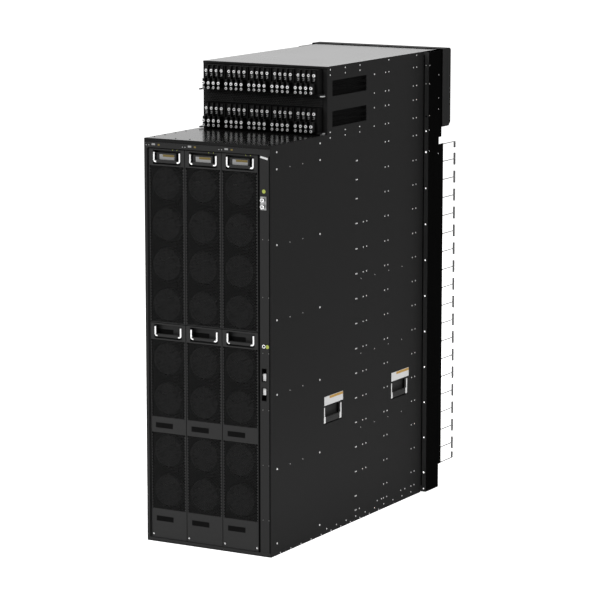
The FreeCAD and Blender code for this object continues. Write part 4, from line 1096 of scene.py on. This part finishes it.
# %% Board between cards and fans
board = block((-214, -302, 16), (214, -299, 1218))
put("middle_board", board, "black_and_shade")

# %% [markdown]
# Behind the slots of the hood lies an air filter, a flat dark block just inside the front sheet. It also keeps
# daylight from showing through the hood when one looks down between a cover and a cable wall.

# %% Air filter of the hood
low, high = box_mm("front_hood")
hood_filter = block((low.x + 6, high.y - 8, low.z + 16), (high.x - 6, high.y - 4, high.z - 16))
put("hood_filter", hood_filter, "black_and_shade")

# %% [markdown]
# ## Camera
# The picture is taken from the fan side's right, a little above the middle, with a long lens from far away.

# %% Camera
AIM = Vector((0.0275, 0.02503, 0.69666))
BACK = Vector((0.48835, -0.85616, 0.16883)).normalized()
DISTANCE = 9.21377
camera = bpy.data.objects.new("camera", bpy.data.cameras.new("camera"))
camera.data.sensor_width = 36.0
camera.data.lens = 174.84
camera.data.clip_end = 100.0
camera.location = AIM + BACK * DISTANCE
camera.rotation_mode = "QUATERNION"
camera.rotation_quaternion = (-BACK).to_track_quat("-Z", "Y")
bpy.context.scene.collection.objects.link(camera)
bpy.context.scene.camera = camera
print("camera at", camera.location)

# %% [markdown]
# ## Floor, world and lamps
# A studio picture of a black object is a picture of what it mirrors, so the white surroundings matter more
# than the lamps. The world is white to the camera and, apart from a dark room that comes below, to mirror
# rays, and weaker as a light. The floor is pale, shows white in the same way, and keeps a faint shadow.

# %% White surroundings
def math_node(tree, operation, first, second):
    """Output of a math node on two sockets or numbers, kept between 0 and 1."""
    values = {0: first, 1: second}
    return add_node(tree, "Math", values, operation=operation, use_clamp=True).outputs[0]


def white_to_camera(tree, strength):
    """Socket that is a strength for camera, glossy and transmission rays, and 0 for others."""
    path = tree.nodes.new("ShaderNodeLightPath")
    total = 0.0
    for label in ("Is Camera Ray", "Is Glossy Ray", "Is Transmission Ray"):
        total = math_node(tree, "ADD", path.outputs[label], total)
    return math_node(tree, "MULTIPLY", total, strength)


WORLD_LIGHT = 0.5
world = bpy.data.worlds.new("studio")
world.use_nodes = True
bpy.context.scene.world = world
tree = world.node_tree
white = math_node(tree, "ADD", white_to_camera(tree, 1.0 - WORLD_LIGHT), WORLD_LIGHT)

# %% [markdown]
# Behind the camera a real studio is a dark room above its bright floor. Mirror rays that leave to the front
# and upwards therefore meet little light, which gives the terminal heads their dark upper halves.

# %% Dark room behind the camera
ROOM_FOOT, ROOM_EDGE, ROOM_DARKNESS = 0.1, -0.2, 0.9
direction = tree.nodes.new("ShaderNodeTexCoord").outputs["Generated"]
axes = add_node(tree, "SeparateXYZ", {0: direction})
upwards = add_node(tree, "MapRange", {"Value": axes.outputs["Z"], "From Min": 0.0, "From Max": ROOM_FOOT})
front = math_node(tree, "LESS_THAN", axes.outputs["Y"], ROOM_EDGE)
mirrored = tree.nodes.new("ShaderNodeLightPath").outputs["Is Glossy Ray"]
dark = math_node(tree, "MULTIPLY", math_node(tree, "MULTIPLY", upwards.outputs["Result"], front), mirrored)
left = math_node(tree, "SUBTRACT", 1.0, math_node(tree, "MULTIPLY", dark, ROOM_DARKNESS))
strength = math_node(tree, "MULTIPLY", white, left)
feed(tree, tree.nodes["Background"], {"Color": colour(1.0), "Strength": strength})
print("world: 1 to the camera,", WORLD_LIGHT, "as light, dark to the front for mirror rays")

# %% Floor
floor_mesh = bmesh.new()
bmesh.ops.create_grid(floor_mesh, x_segments=1, y_segments=1, size=30.0)
shift(floor_mesh, (0, 0, -0.5 * MM))
floor = bpy.data.objects.new("floor", bpy.data.meshes.new("floor"))
floor_mesh.to_mesh(floor.data)
floor_mesh.free()
bpy.context.scene.collection.objects.link(floor)
floor_paint = bpy.data.materials.new("floor_paint")
floor_paint.use_nodes = True
coat = floor_paint.node_tree
feed(coat, coat.nodes["Principled BSDF"], {
    "Base Color": colour(0.85), "Roughness": 0.9, "Specular IOR Level": 0.0,
    "Emission Color": colour(1.0), "Emission Strength": white_to_camera(coat, 0.8),
})
floor.data.materials.append(floor_paint)
floor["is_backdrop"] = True
print("floor at", floor.bound_box[0][2])

# %% Soft lamps
def add_lamp(name, place, wide, tall, power):
    """Soft lamp that faces the middle of the object."""
    lamp = bpy.data.lights.new(name, "AREA")
    lamp.shape = "RECTANGLE"
    lamp.size = wide
    lamp.size_y = tall
    lamp.energy = power
    made = bpy.data.objects.new(name, lamp)
    made.location = place
    made.rotation_mode = "QUATERNION"
    made.rotation_quaternion = (AIM - Vector(place)).to_track_quat("-Z", "Y")
    bpy.context.scene.collection.objects.link(made)
    return made


add_lamp("key_lamp", (-2.2, -4.6, 4.3), 3.0, 3.0, 185.0)
add_lamp("side_lamp", (4.8, -0.3, 3.2), 3.0, 3.0, 86.0)
add_lamp("back_lamp", (0.5, 5.0, 3.4), 3.0, 3.0, 110.0)
for sign in (-1, 1):
    low_lamp = add_lamp("low_lamp", (sign * 0.65, 0.0, 0.04), 1.4, 0.1, 1.6)
    low_lamp.visible_camera = False
bpy.context.scene.view_settings.view_transform = "Standard"
print("lamps:", [light.name for light in bpy.data.lights])

# %% [markdown]
# ## Size of the dressed object
# The box round all rendered pieces, without the floor, is printed. The looks may not make the object
# bigger than its solids.

# %% Box of the rendered pieces
low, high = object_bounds()
print("visual box from", low, "to", high)
